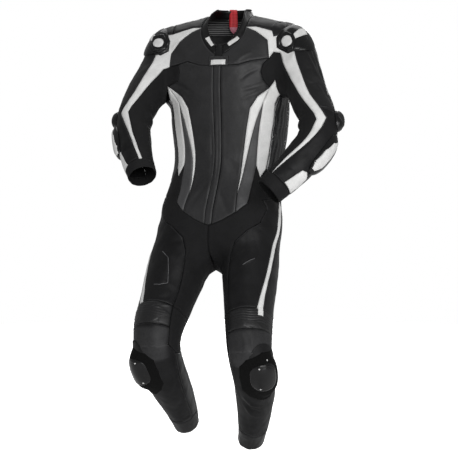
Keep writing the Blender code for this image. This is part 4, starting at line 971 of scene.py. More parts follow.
def edge_measures(points: np.ndarray, edges: np.ndarray) -> tuple[np.ndarray, np.ndarray]:
    """How far each point is from its piece's edge, and how far along that edge it is.

    Args:
        points: the piece's points.
        edges: pairs of point numbers along its edge.

    Returns:
        Both in millimetres.
    """
    partners: dict[int, list[int]] = {}
    for a, b in edges:
        partners.setdefault(int(a), []).append(int(b))
        partners.setdefault(int(b), []).append(int(a))
    run: dict[int, float] = {}
    for start in partners:
        if start in run:
            continue
        run[start], here = 0.0, start
        while True:
            onward = [n for n in partners[here] if n not in run]
            if not onward:
                break
            run[onward[0]] = run[here] + float(np.linalg.norm(points[onward[0]] - points[here]))
            here = onward[0]
    rims = list(partners)
    tree = KDTree(len(rims))
    for i, rim in enumerate(rims):
        tree.insert(points[rim], i)
    tree.balance()
    nearest = np.array([rims[tree.find(p)[1]] for p in points])
    far = np.full(len(points), 1e9)
    along = np.zeros(len(points))
    for pick in (0, -1):
        other = np.array([partners[n][pick] for n in nearest])
        start, way = points[nearest], points[other] - points[nearest]
        share = np.clip(((points - start) * way).sum(1) / np.maximum((way ** 2).sum(1), 1e-12), 0, 1)
        gap = np.linalg.norm(points - start - share[:, None] * way, axis=1)
        at = np.array([run[n] for n in nearest]) * (1 - share) + np.array([run[n] for n in other]) * share
        along = np.where(gap < far, at, along)
        far = np.minimum(gap, far)
    return far / MM, along / MM


def trace(surface: BVHTree, line: str, path: Path) -> np.ndarray:
    """Follow a path on the cloth.

    Args:
        surface: the cloth.
        line: the name of the middle that the path's places are counted from.
        path: the places.

    Returns:
        Points on the cloth, one a row, in metres.
    """
    places = [(s0 + (s1 - s0) * i / TRACE_STEPS, t0 + (t1 - t0) * i / TRACE_STEPS)
              for (s0, t0), (s1, t1) in zip(path[:-1], path[1:]) for i in range(TRACE_STEPS)] + [path[-1]]
    hits = [surface.ray_cast(*MIDDLES[line].look(station, turn), CROSSING)[0] for station, turn in places]
    return np.array([hit for hit in hits if hit is not None])


def beside_line(points: np.ndarray, spots: np.ndarray) -> tuple[np.ndarray, np.ndarray]:
    """How far points are from a line of spots, and how far along it.

    Args:
        points: one a row, in metres.
        spots: the line's points.

    Returns:
        Both in metres.
    """
    best = np.full(len(points), 1e9)
    along = np.zeros(len(points))
    run = 0.0
    for start, end in zip(spots[:-1], spots[1:]):
        way = end - start
        length = float(np.linalg.norm(way))
        share = np.clip((points - start) @ way / max(length ** 2, 1e-12), 0, 1)
        gap = np.linalg.norm(points - start - share[:, None] * way, axis=1)
        closer = gap < best
        along[closer] = run + share[closer] * length
        best = np.minimum(best, gap)
        run += length
    return best, along


def crest(count: np.ndarray) -> np.ndarray:
    """A wave from 0 to 1, once for each whole number, a little wider at its crests than between."""
    return (0.5 + 0.5 * np.cos(count * 2 * math.pi)) ** 0.8


@dataclass(frozen=True)
class LaidCrease:
    """A crease once it lies on the cloth, in metres."""

    spots: np.ndarray
    rise: float
    width: float
    taper: float = 0.6          # its ends fade sooner under 1
    bank: float = 0.45          # how deep the dip beside it is

    def lift(self, points: np.ndarray) -> np.ndarray:
        """How far it lifts each point: a soft ridge with a shallow dip beside it, fading at its ends.

        Args:
            points: one a row.

        Returns:
            One number a point, in metres.
        """
        lifted = np.zeros(len(points))
        reach = CREASE_REACH * self.width
        above, below = points > self.spots.min(0) - reach, points < self.spots.max(0) + reach
        near = np.flatnonzero((above & below).all(1))
        if len(near):
            gap, along = beside_line(points[near], self.spots)
            whole = np.linalg.norm(np.diff(self.spots, axis=0), axis=1).sum()
            x = gap / self.width
            fade = np.sin(np.pi * np.clip(along / whole, 0, 1)) ** self.taper
            lifted[near] = self.rise * fade * (1 - self.bank * x ** 2) * np.exp(-x ** 2)
        return lifted


@dataclass
class Tailor:
    """Makes each piece of cloth from its open sheet: rounds it, creases it and gives it a wall."""

    seam_sink: float = 1.1              # how far a piece dips at its own edge
    seam_width: float = 2.6
    puff: float = 0.5                   # the pull of the stitching swells the leather beside a seam
    puff_at: float = 6.5                # how far from the edge
    puff_width: float = 3.5
    rib_edge: float = 2.0               # ribs start this far from the edge
    rib_ease: float = 9.0               # and are full this much further in
    pleats: float = 9.0                 # upright ribs under the arm
    pleat_turn: float = 51.0            # over so many degrees
    pleat_stray: float = 1.6            # how far they wander to either side
    pleat_rise: float = 3.2
    level_ribs: float = 7.0             # across the knee
    level_start: float = 4.54           # from this station
    level_run: float = 0.62             # over so many stations
    level_stray: float = 4.0            # how far they wander up and down
    level_middle: float = 60.0          # the turn where they are deepest
    level_spread: float = 55.0
    right_share: float = 0.35           # the right knee's ribs are pulled flatter
    rib_rise: float = 1.5
    waves: tuple[tuple[float, float], ...] = ((0.5, 17.0), (0.28, 41.0))    # depth, how many to the metre
    uneven: float = 0.9                 # share of those waves on leather
    uneven_knit: float = 0.4
    painted_sheen_stations: tuple[float, float] = (5.15, 6.34)      # the knee covers, where a lighter tone is painted for their sheen
    painted_sheen_turns: tuple[float, float] = (-40, 140)
    painted_sheen_ease: tuple[float, float] = (0.08, 12)
    sheets: Sheets = field(default_factory=Sheets)
    creases: list[LaidCrease] = field(default_factory=list)
    seams: list[np.ndarray] = field(default_factory=list)

    def cut(self) -> None:
        """Take the face of every piece on the cut list, and lay the creases on them."""
        laid_over = []
        for cut in CUTS:
            for node, line in cut.nodes():
                if cut.kind == "zip_flap":
                    laid_over.append((cut, node, line))
                else:
                    self.sheets.put(node, one_sheet(node, MIDDLES[line], cut.wall, cut.ribs is Ribs.NONE))
        self.sheets.agree()
        surface = self.sheets.surface()
        self.creases = [LaidCrease(trace(surface, line, crease.path), crease.rise * MM, crease.width * MM)
                        for line, creases in CREASES.items() for crease in creases]
        self.seams = [trace(surface, line, path) for line, path in SEWN_LINES]
        for cut, node, line in laid_over:
            self.sheets.put(node, one_sheet(node, MIDDLES[line], cut.wall, True))

    def with_seams(self, points: np.ndarray, edge: np.ndarray, along: np.ndarray) -> None:
        """Count the seams inside a piece as its edge too.

        Args:
            points: the piece's points, in metres.
            edge: how far each is from the piece's edge, in millimetres. It is changed.
            along: how far along that edge, in millimetres. It is changed.
        """
        for spots in self.seams:
            gap, run = beside_line(points, spots)
            closer = gap / MM < edge
            edge[closer] = gap[closer] / MM
            along[closer] = run[closer] / MM

    def ribbed(self, cut: Cut, line: Middle, points: np.ndarray, edge: np.ndarray) -> np.ndarray:
        """How far the ribs lift each point.

        Args:
            cut: the piece's line in the cut list.
            line: the middle that it goes round.
            points: one a row, in metres.
            edge: how far each is from the piece's edge, in millimetres.

        Returns:
            One number a point, in metres.
        """
        station, turn = line.locate(points)
        held = np.clip((edge - self.rib_edge) / self.rib_ease, 0, 1)
        if cut.ribs is Ribs.UPRIGHT:
            wander = 0.9 * np.sin(station * 5.1 + 0.05 * turn) + 0.5 * np.sin(station * 11.0 + 1.0)
            count = (turn + self.pleat_stray * wander) / self.pleat_turn * self.pleats
            return self.pleat_rise * MM * held * crest(count)
        wander = 0.10 * np.sin(turn / 17.0) + 0.05 * np.sin(turn / 7.0 + 1.0)
        count = (station - self.level_start) / self.level_run * self.level_ribs
        middle = np.exp(-((turn - self.level_middle) / self.level_spread) ** 2)
        middle *= 1.0 if line is MIDDLES["leg_left"] else self.right_share
        return self.rib_rise * MM * held * middle * crest(count + wander * self.level_stray)

    def lifts(self, cut: Cut, line: Middle, points: np.ndarray, edge: np.ndarray) -> np.ndarray:
        """How far creases, ribs, unevenness and the pull of the seams lift each point.

        Args:
            cut: the piece's line in the cut list.
            line: the middle that it goes round.
            points: one a row, in metres.
            edge: how far each is from the piece's edge, in millimetres.

        Returns:
            One number a point, in metres.
        """
        lift = sum((crease.lift(points) for crease in self.creases), np.zeros(len(points)))
        share = self.uneven_knit if cut.finish is Finish.KNIT else self.uneven
        lift += np.array([sum(depth * noise.noise(Vector(p) * often) for depth, often in self.waves)
                          for p in points]) * MM * share
        if cut.ribs is not Ribs.NONE:
            lift += self.ribbed(cut, line, points, edge)
        lift -= self.seam_sink * MM * np.exp(-(edge / self.seam_width) ** 2)
        return lift + self.puff * MM * np.exp(-((edge - self.puff_at) / self.puff_width) ** 2)

    def waxed(self, line: Middle, points: np.ndarray) -> np.ndarray:
        """How much each point of a shin is on the cover of the knee, where a lighter tone is painted for its
        sheen.

        Args:
            line: the middle of the leg.
            points: one a row, in metres.

        Returns:
            A number from 0 to 1 for each point.
        """
        station, turn = line.locate(points)
        (high, low), (start, end) = self.painted_sheen_stations, self.painted_sheen_turns
        band = np.clip(np.minimum(station - high, low - station) / self.painted_sheen_ease[0], 0, 1)
        return band * np.clip(np.minimum(turn - start, end - turn) / self.painted_sheen_ease[1], 0, 1)

    def sew(self, cut: Cut, node: str, line: Middle) -> bpy.types.Object:
        """Make one piece of cloth.

        Args:
            cut: its line in the cut list.
            node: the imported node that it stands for.
            line: the middle that it goes round.

        Returns:
            The finished piece.
        """
        bm = self.sheets.sheets[node]
        make_fine(bm, cut.steps)
        mesh = to_mesh(bm, node + "_cloth")
        points, ways = rounded(mesh)
        edge, along = edge_measures(points, open_edge(mesh))
        self.with_seams(points, edge, along)
        move_to(mesh, points + ways * self.lifts(cut, line, points, edge)[:, None])
        measures = {"edge_mm": edge, "along_mm": along}
        if cut.kind == "shin":
            # the knee covers' painted sheen
            measures["waxed"] = self.waxed(line, points)
        piece = finish_piece(mesh, node + "_cloth", cut.finish, cut.wall, (node,), measures)
        return piece


def finish_piece(mesh: bpy.types.Mesh, name: str, finish: Finish, wall: float,
                 nodes: tuple[str, ...] = (),
                 measures: dict[str, np.ndarray] | None = None) -> bpy.types.Object:
    """Put a mesh in the scene as a piece of the suit.

    Args:
        mesh: the piece's mesh, in place.
        name: the piece's name.
        finish: what it is made of.
        wall: thickness of an open sheet in millimetres, or 0 for a closed mesh.
        nodes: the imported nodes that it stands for.
        measures: numbers for each point that the finish reads.

    Returns:
        The piece.
    """
    for key, values in (measures or {}).items():
        layer = mesh.attributes.new(key, "FLOAT", "POINT")
        layer.data.foreach_set("value", values.astype(np.float32))
    mesh.materials.clear()
    mesh.materials.append(finish.material)
    mesh.shade_smooth()
    piece = put(name, mesh)
    if wall:
        layer = piece.modifiers.new("wall", "SOLIDIFY")
        layer.thickness = wall * MM
        layer.offset = -1.0
    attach(piece, BODY)
    if nodes:
        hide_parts(*nodes)
    log.info("%s: %d points", name, len(mesh.vertices))
    return piece


# ---- laid and moulded pieces --------------------------------------------------------------
def settled(piece: bpy.types.Object) -> bpy.types.Mesh:
    """Apply an object's modifiers.

    Args:
        piece: the object, which stays as it is.

    Returns:
        The mesh that its modifiers leave.
    """
    bpy.context.view_layer.update()
    depsgraph = bpy.context.evaluated_depsgraph_get()
    return bpy.data.meshes.new_from_object(piece.evaluated_get(depsgraph))


def smooth_copy(node: str, levels: int, crease: float) -> bpy.types.Mesh:
    """A node's closed mesh, subdivided, with its sharp edges kept a little.

    Args:
        node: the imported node.
        levels: how often it is subdivided.
        crease: how sharp its bends stay, from 0 to 1.

    Returns:
        The new mesh.
    """
    bm = merged_copy(node)
    bmesh.ops.join_triangles(bm, faces=bm.faces, angle_face_threshold=FLAT_BEND[0],
                             angle_shape_threshold=FLAT_BEND[1])
    bm.normal_update()
    layer = bm.edges.layers.float.new("crease_edge")
    for edge in bm.edges:
        if len(edge.link_faces) == 2 and edge.calc_face_angle() > SHARP_BEND:
            edge[layer] = crease
    holder = put(node + "_raw", to_mesh(bm, node + "_raw"))
    finer = holder.modifiers.new("finer", "SUBSURF")
    finer.levels = finer.render_levels = levels
    made = settled(holder)
    bpy.data.objects.remove(holder)
    return made


@dataclass(frozen=True)
class Spot:
    """A place on the suit, counted from the line down a limb."""

    line: str
    station: float
    turn: float

    def axes(self) -> Axes:
        """The place's own directions.

        Returns:
            A point on the line, and the ways outward, down the limb and towards more turn.
        """
        middle = MIDDLES[self.line]
        at, out = middle.look(self.station, self.turn)
        down = middle.look(self.station + TANGENT[0], self.turn)[0] - at
        down = (down - out * down.dot(out)).normalized()
        front = middle.look(self.station, self.turn + TANGENT[1])[1] - out
        front -= out * front.dot(out) + down * front.dot(down)
        return at, out, down, front.normalized()

    @classmethod
    def on_node(cls, node: str, line: str) -> "Spot":
        """The place of a node's middle."""
        station, turn = MIDDLES[line].locate(places_of(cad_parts[node].data).mean(0, keepdims=True))
        return cls(line, float(station[0]), float(turn[0]))


class Ground:
    """The outside of a few finished pieces, for another to be laid on."""

    def __init__(self, pieces: list[str]) -> None:
        """Take the pieces of these names.

        Args:
            pieces: names of finished pieces.
        """
        points: list[Vector] = []
        faces: list[list[int]] = []
        for name in pieces:
            mesh = bpy.data.objects[name].data
            base = len(points)
            points += [v.co.copy() for v in mesh.vertices]
            faces += [[v + base for v in p.vertices] for p in mesh.polygons]
        self.tree = BVHTree.FromPolygons(points, faces)

    def land(self, over: Vector, out: Vector) -> Vector:
        """Where something dropped against the way out comes to rest."""
        hit = self.tree.ray_cast(over + out * DROP, -out, 2 * DROP)[0]
        return hit if hit is not None else self.tree.find_nearest(over)[0]


def oval(across: float, down: float, power: float = 2.0, centre: tuple[float, float] = (0, 0),
         count: int = 28) -> Outline:
    """An oval outline.

    Args:
        across: half its width.
        down: half its height.
        power: 2 is an ellipse, and more squares it off.
        centre: its middle.
        count: how many corners it has.

    Returns:
        The corners.
    """
    out = []
    for i in range(count):
        a = 2 * math.pi * i / count
        x, y = math.cos(a), math.sin(a)
        out.append((centre[0] + across * math.copysign(abs(x) ** (2 / power), x),
                    centre[1] + down * math.copysign(abs(y) ** (2 / power), y)))
    return tuple(out)


@dataclass(frozen=True)
class Plate:
    """A plate or patch cut to a convex outline and laid on the suit, with a raised profile."""

    name: str
    outline: Outline                        # towards more turn, and down
    profile: Outline                        # distance in from the outline, height
    finish: Finish
    slot: str
    wall: float = 1.2
    cell: float = 1.5                       # size of its faces before it is cut out
    ease: int = 4                           # rounds of smoothing after it is laid

    def cut(self) -> tuple[bmesh.types.BMesh, np.ndarray, np.ndarray]:
        """Cut a fine grid to the outline.

        Returns:
            The flat mesh, its points in the plane, and how far each is in from the outline.
        """
        corners = np.array(self.outline, float)
        low, high = corners.min(0), corners.max(0)
        size, middle = high - low, (low + high) / 2
        bm = bmesh.new()
        bmesh.ops.create_grid(bm, x_segments=int(size[0] / self.cell) + 1,
                              y_segments=int(size[1] / self.cell) + 1, size=0.5)
        for vert in bm.verts:
            vert.co = Vector((vert.co.x * size[0] + middle[0], vert.co.y * size[1] + middle[1], 0))
        inside = corners.mean(0)
        sides = []
        for start, end in zip(corners, np.roll(corners, -1, axis=0)):
            normal = np.array([end[1] - start[1], start[0] - end[0]])
            normal /= max(np.linalg.norm(normal), 1e-9)
            if normal @ (inside - start) > 0:
                normal = -normal
            sides.append((start, normal))
            bmesh.ops.bisect_plane(bm, geom=bm.verts[:] + bm.edges[:] + bm.faces[:], dist=1e-4,
                                   plane_co=(*start, 0), plane_no=(*normal, 0), clear_outer=True)
        bmesh.ops.remove_doubles(bm, verts=bm.verts, dist=PLATE_MERGE)
        flat = np.array([v.co[:2] for v in bm.verts])
        return bm, flat, np.min([(start - flat) @ normal for start, normal in sides], axis=0)

    def lay(self, ground: Ground, axes: Axes, nodes: tuple[str, ...] = ()) -> bpy.types.Object:
        """Cut the plate, lay it and raise it.

        Args:
            ground: what it lies on.
            axes: a point, and the ways outward, down and towards more turn.
            nodes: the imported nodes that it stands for.

        Returns:
            The finished piece.
        """
        at, out, down, front = axes
        bm, flat, inward = self.cut()
        for vert, (x, y) in zip(bm.verts, flat):
            vert.co = ground.land(at + (front * x + down * y) * MM, out)
        free = [v for v in bm.verts if not v.is_boundary]
        for _ in range(self.ease):
            bmesh.ops.smooth_vert(bm, verts=free, factor=0.5, use_axis_x=True, use_axis_y=True,
                                  use_axis_z=True)
        for vert, height in zip(bm.verts, np.interp(inward, *np.array(self.profile).T)):
            vert.co += out * float(height) * MM
        bm.normal_update()
        if sum(f.normal.dot(out) * f.calc_area() for f in bm.faces) < 0:
            bmesh.ops.reverse_faces(bm, faces=bm.faces)
        measures = {"edge_mm": inward, "along_mm": flat.sum(1)}
        mesh = to_mesh(bm, self.name)
        return finish_piece(mesh, self.name, self.finish, self.wall, nodes, measures)

    def lay_cloth(self, ground: Ground, axes: Axes, nodes: tuple[str, ...] = ()) -> None:
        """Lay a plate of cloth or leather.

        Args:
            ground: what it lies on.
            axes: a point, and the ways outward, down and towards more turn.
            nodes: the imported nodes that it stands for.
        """
        piece = self.lay(ground, axes, nodes)


def moulding(node: str, finish: Finish) -> bpy.types.Object:
    """A hard piece's body: its node's own form, finer."""
    mesh = smooth_copy(node, 2, 0.55)
    edge = np.full(len(mesh.vertices), NO_EDGE)
    return finish_piece(mesh, node + "_moulding", finish, 0, (node,), {"edge_mm": edge})


def tube(name: str, points: list[Vector], radius: float, finish: Finish) -> bpy.types.Object:
    """A round cord or folded tape along a line of points, its ends closed.

    Args:
        name: the piece's name.
        points: where its middle runs.
        radius: in millimetres.
        finish: what it is made of.

    Returns:
        The finished piece.
    """
    curve = bpy.data.curves.new(name + "_line", "CURVE")
    curve.dimensions = "3D"
    curve.bevel_depth = radius * MM
    curve.bevel_resolution = 3
    curve.use_fill_caps = True
    spline = curve.splines.new("POLY")
    spline.points.add(len(points) - 1)
    for spot, place in zip(spline.points, points):
        spot.co = (*place, 1.0)
    holder = put(name + "_line", curve)
    mesh = settled(holder)
    bpy.data.objects.remove(holder)
    mesh.name = name
    return finish_piece(mesh, name, finish, 0)


@dataclass(frozen=True)
class Teeth:
    """Two rows of zip teeth in one mesh."""

    pitch: float = 3.0          # from a tooth to the next in its row, 2 mm on a real zip: drawn coarser
    across: float = 2.4
    along: float = 1.3
    high: float = 1.6
    apart: float = 1.2          # from the middle of the zip to the middle of a tooth
    lift: float = 0.4           # of a tooth's middle off the tape

    def make(self, name: str, points: np.ndarray, out: list[Vector]) -> bpy.types.Object:
        """Make the teeth along a line.

        Args:
            name: the piece's name.
            points: where the zip's middle runs, in metres.
            out: the way outward at each of them.

        Returns:
            The finished piece.
        """
        bm = bmesh.new()
        run = np.concatenate([[0], np.cumsum(np.linalg.norm(np.diff(points, axis=0), axis=1))])
        for number, at in enumerate(np.arange(0.5 * self.pitch * MM, run[-1], self.pitch * MM / 2)):
            place, ahead = (Vector([float(np.interp(d, run, points[:, c])) for c in range(3)])
                            for d in (at, at + MM))
            way = ahead - place
            if way.length < 1e-6:
                continue
            way.normalize()
            nearest = out[int(np.abs(run - at).argmin())]
            lifted = (nearest - way * nearest.dot(way)).normalized()
            across = way.cross(lifted)
            side = 1 if number % 2 else -1
            for vert in bmesh.ops.create_cube(bm, size=1.0)["verts"]:
                x, y, z = vert.co
                vert.co = (place + across * (x * self.across + side * self.apart) * MM
                           + way * y * self.along * MM + lifted * (z * self.high + self.lift) * MM)
        bmesh.ops.recalc_face_normals(bm, faces=bm.faces)
        return finish_piece(to_mesh(bm, name), name, Finish.TEETH, 0)


# Profiles of plates: distance in from the outline, and height.
RIM = ((0, 0.9), (1.6, 3.6), (5.2, 4.0), (6.8, 2.2), (8.5, 1.2), (40, 1.2))
INSERT = ((0, 1.2), (1.4, 2.6), (5, 3.6), (20, 4.2))
LOW = ((0, 0.5), (1.2, 1.7), (5, 2.0), (40, 2.2))
SKIRT = ((0, 0.3), (1.5, 1.9), (60, 2.1))
FACING = ((0, 0.2), (1.2, 1.2), (60, 1.3))
PAD = ((0, 0.3), (2.0, 1.8), (60, 2.2))
PATCH = ((0, 0.4), (1.2, 1.8), (40, 2.0))
TIP = ((0, 0.4), (0.9, 1.3), (20, 1.5))
TAB = ((0, 1.0), (1.2, 2.6), (40, 2.8))
LABEL_STEP = ((0, 0.2), (0.5, 0.8), (20, 0.9))
GUARD_FACE = ((0, 0.4), (1.4, 1.7), (8, 2.2), (40, 2.6))
RINGS = ((0, 0.4), (2, 1.8), (7, 2.0), (8, 1.0), (9.4, 1.0), (10.4, 2.3), (15, 2.5), (16, 1.4),
         (17.4, 1.4), (18.4, 2.8), (60, 3.0))
PUCK = ((0, 0.4), (1.4, 1.6), (7, 2.2), (9, 1.6), (11, 2.0), (40, 2.6))
RIVET = ((0, 1.8), (1.0, 3.2), (3, 3.6))


@dataclass
class ShoulderCaps:
    """Moulded caps with a raised eight-sided rim, a white insert and a blank badge in front."""

    spots: dict[str, Spot] = field(default_factory=lambda: {
        "left": Spot("arm_left", 1.28, 96), "right": Spot("arm_right", 1.33, 87)})
    rims: dict[str, Outline] = field(default_factory=lambda: {
        "left": ((14, -33), (35, -1), (9, 30), (-8, 35), (-22, 12), (-19, -18), (-5, -36)),
        "right": ((-33, -22), (-26, 9), (-6, 30), (11, 29), (30, 13), (22, -16), (4, -32))})
    inserts: dict[str, Outline] = field(default_factory=lambda: {
        "left": oval(17, 18, 2.2, (2, -1)), "right": oval(18, 15, 2.2, (-2, 0))})
    badges: dict[str, Spot] = field(default_factory=lambda: {
        "left": Spot("arm_left", 1.10, 61), "right": Spot("arm_right", 1.08, 52)})
    skirts: dict[str, Outline] = field(default_factory=lambda: {
        "left": ((38, 0), (30, -28), (10, -48), (-20, -62), (-50, -44), (-57, 3), (-26, 38), (12, 33)),
        "right": ((35, 12), (28, -20), (6, -42), (-20, -48), (-42, -28), (-40, 14), (-10, 35), (17, 32))})
    badge: Outline = ((21, 13), (-3, -6), (-27, -17), (-25, 12), (-1, 24), (19, 30))
    facing: Outline = ((36, -34), (33, -70), (20, -84), (-16, -80), (-6, -46), (14, -34))
    facing_ease: tuple[float, float] = (1.1, 1.2)       # it is cut larger: it goes over a bend

    def make(self) -> None:
        """Make both, and the black leather over the stripe's end at the left one."""
        for side in SIDES:
            node = f"shoulder_cap_{side}"
            moulding(node, Finish.PLASTIC)
            around = [f"{kind}_{side}_cloth" for kind in ("sleeve_outer", "stripe_arm", "yoke_front")]
            at = self.spots[side].axes()
            Plate(node + "_skirt", self.skirts[side], SKIRT, Finish.PLASTIC, HARD, cell=2.4,
                  ease=12).lay(Ground([node + "_moulding", "back_yoke_cloth"] + around), at)
            if side == "left":
                facing = Plate(node + "_facing", self.facing, FACING, Finish.SLEEVE, BLACK, cell=2.4, ease=10)
                facing.lay_cloth(Ground(["back_yoke_cloth"] + around), at)
            ground = Ground([node + "_moulding", node + "_skirt"])
            Plate(node + "_rim", self.rims[side], RIM, Finish.PLASTIC, HARD).lay(ground, at)
            Plate(node + "_insert", self.inserts[side], INSERT, Finish.WHITE_PLASTIC, WHITE).lay(ground, at)
            badge = Plate(node + "_badge", self.badge, LOW, Finish.WHITE, WHITE)
            badge.lay_cloth(ground, self.badges[side].axes())


@dataclass
class ArmGuards:
    """Forearm guards with a blank white face in a black rim, and scuffed elbow sliders."""

    face: Outline = ((-7, -66), (14, -50), (24, -16), (24, 27), (15, 47), (5, 48), (-7, 26), (-10, -14),
                     (-11, -43))
    place: tuple[float, float] = (5.38, 6)
    slider: Outline = oval(24, 30, 2.4)

    def make(self) -> None:
        """Make both arms'."""
        for side in SIDES:
            line = f"arm_{side}"
            node = f"forearm_guard_{side}"
            moulding(node, Finish.PLASTIC)
            Plate(node + "_face", self.face, GUARD_FACE, Finish.WHITE_PLASTIC, WHITE).lay(
                Ground([node + "_moulding"]), Spot(line, *self.place).axes())
            node = f"elbow_slider_{side}"
            moulding(node, Finish.PLASTIC)
            Plate(node + "_face", self.slider, RINGS, Finish.SCUFFED, HARD).lay(
                Ground([node + "_moulding"]), Spot.on_node(node, line).axes())


@dataclass
class KneeSliders:
    """Brushed pads with a glossy puck over each, held by small white rivets."""

    place: tuple[float, float] = (6.75, 50)
    pad: Outline = ((56, -36), (38, -58), (-10, -69), (-44, -57), (-52, 0), (-46, 55), (-26, 92), (4, 90),
                    (36, 70), (52, 46), (58, 3))
    crown: float = 1.12             # the pad goes round the knee, so it is cut larger than its outline
    puck: Outline = oval(38, 43, 2.6, count=40)
    rivets: Outline = ((-16, -50), (14, -33), (17, 33))
    rivet: float = 2.2

    def make(self) -> None:
        """Make both."""
        for side in SIDES:
            node = f"knee_slider_{side}"
            moulding(node, Finish.LEG)
            axes = Spot(f"leg_{side}", *self.place).axes()
            shin = f"shin_{side}_cloth"
            Plate(node + "_pad", self.pad, PAD, Finish.LOOPS, HARD, cell=2.6, ease=10).lay_cloth(
                Ground([node + "_moulding", shin]), axes)
            ground = Ground([node + "_pad"])
            Plate(node + "_puck", self.puck, PUCK, Finish.PLASTIC, HARD, cell=1.8).lay(ground, axes)
            for number, centre in enumerate(self.rivets):
                Plate(f"{node}_rivet_{number}", oval(self.rivet, self.rivet, 2, centre, 12), RIVET,
                      Finish.WHITE_PLASTIC, WHITE, cell=0.8, wall=1.6).lay(ground, axes)


@dataclass
class Patches:
    """White leather patches at the cuffs, and the blunt feet of two stripes."""

    cuff: Outline = ((20, 33), (12, -28), (-4, -36), (-26, -26), (-30, 10), (-26, 36))
    cuff_place: tuple[float, float] = (6.27, 21)
    thigh_foot: Outline = ((-9, -17), (10, -17), (9, 9), (-9, 9))
    thigh_spot: Spot = Spot("leg_left", 4.62, 49.5)
    arm_foot: Outline = ((-8, -34), (1, -34), (7, 36), (-2, 36))
    arm_spot: Spot = Spot("arm_right", 6.22, 103.5)

    def make(self) -> None:
        """Make them all."""
        for side in SIDES:
            node, forearm = f"cuff_patch_{side}", f"forearm_outer_{side}_cloth"
            Plate(node + "_cloth", self.cuff, PATCH, Finish.WHITE, WHITE).lay_cloth(
                Ground([forearm, f"cuff_{side}_cloth"]), Spot(f"arm_{side}", *self.cuff_place).axes(),
                (node,))
        thigh = [f"{kind}_left_cloth" for kind in ("knee_stretch", "stripe_thigh", "thigh", "thigh_side")]
        Plate("stripe_thigh_foot_cloth", self.thigh_foot, PATCH, Finish.WHITE, WHITE).lay_cloth(
            Ground(thigh), self.thigh_spot.axes())
        arm = [f"{kind}_right_cloth" for kind in ("stripe_arm", "forearm_outer", "sleeve_inner", "cuff")]
        Plate("stripe_arm_foot_cloth", self.arm_foot, LOW, Finish.WHITE, WHITE, cell=1.2).lay_cloth(
            Ground(arm), self.arm_spot.axes())


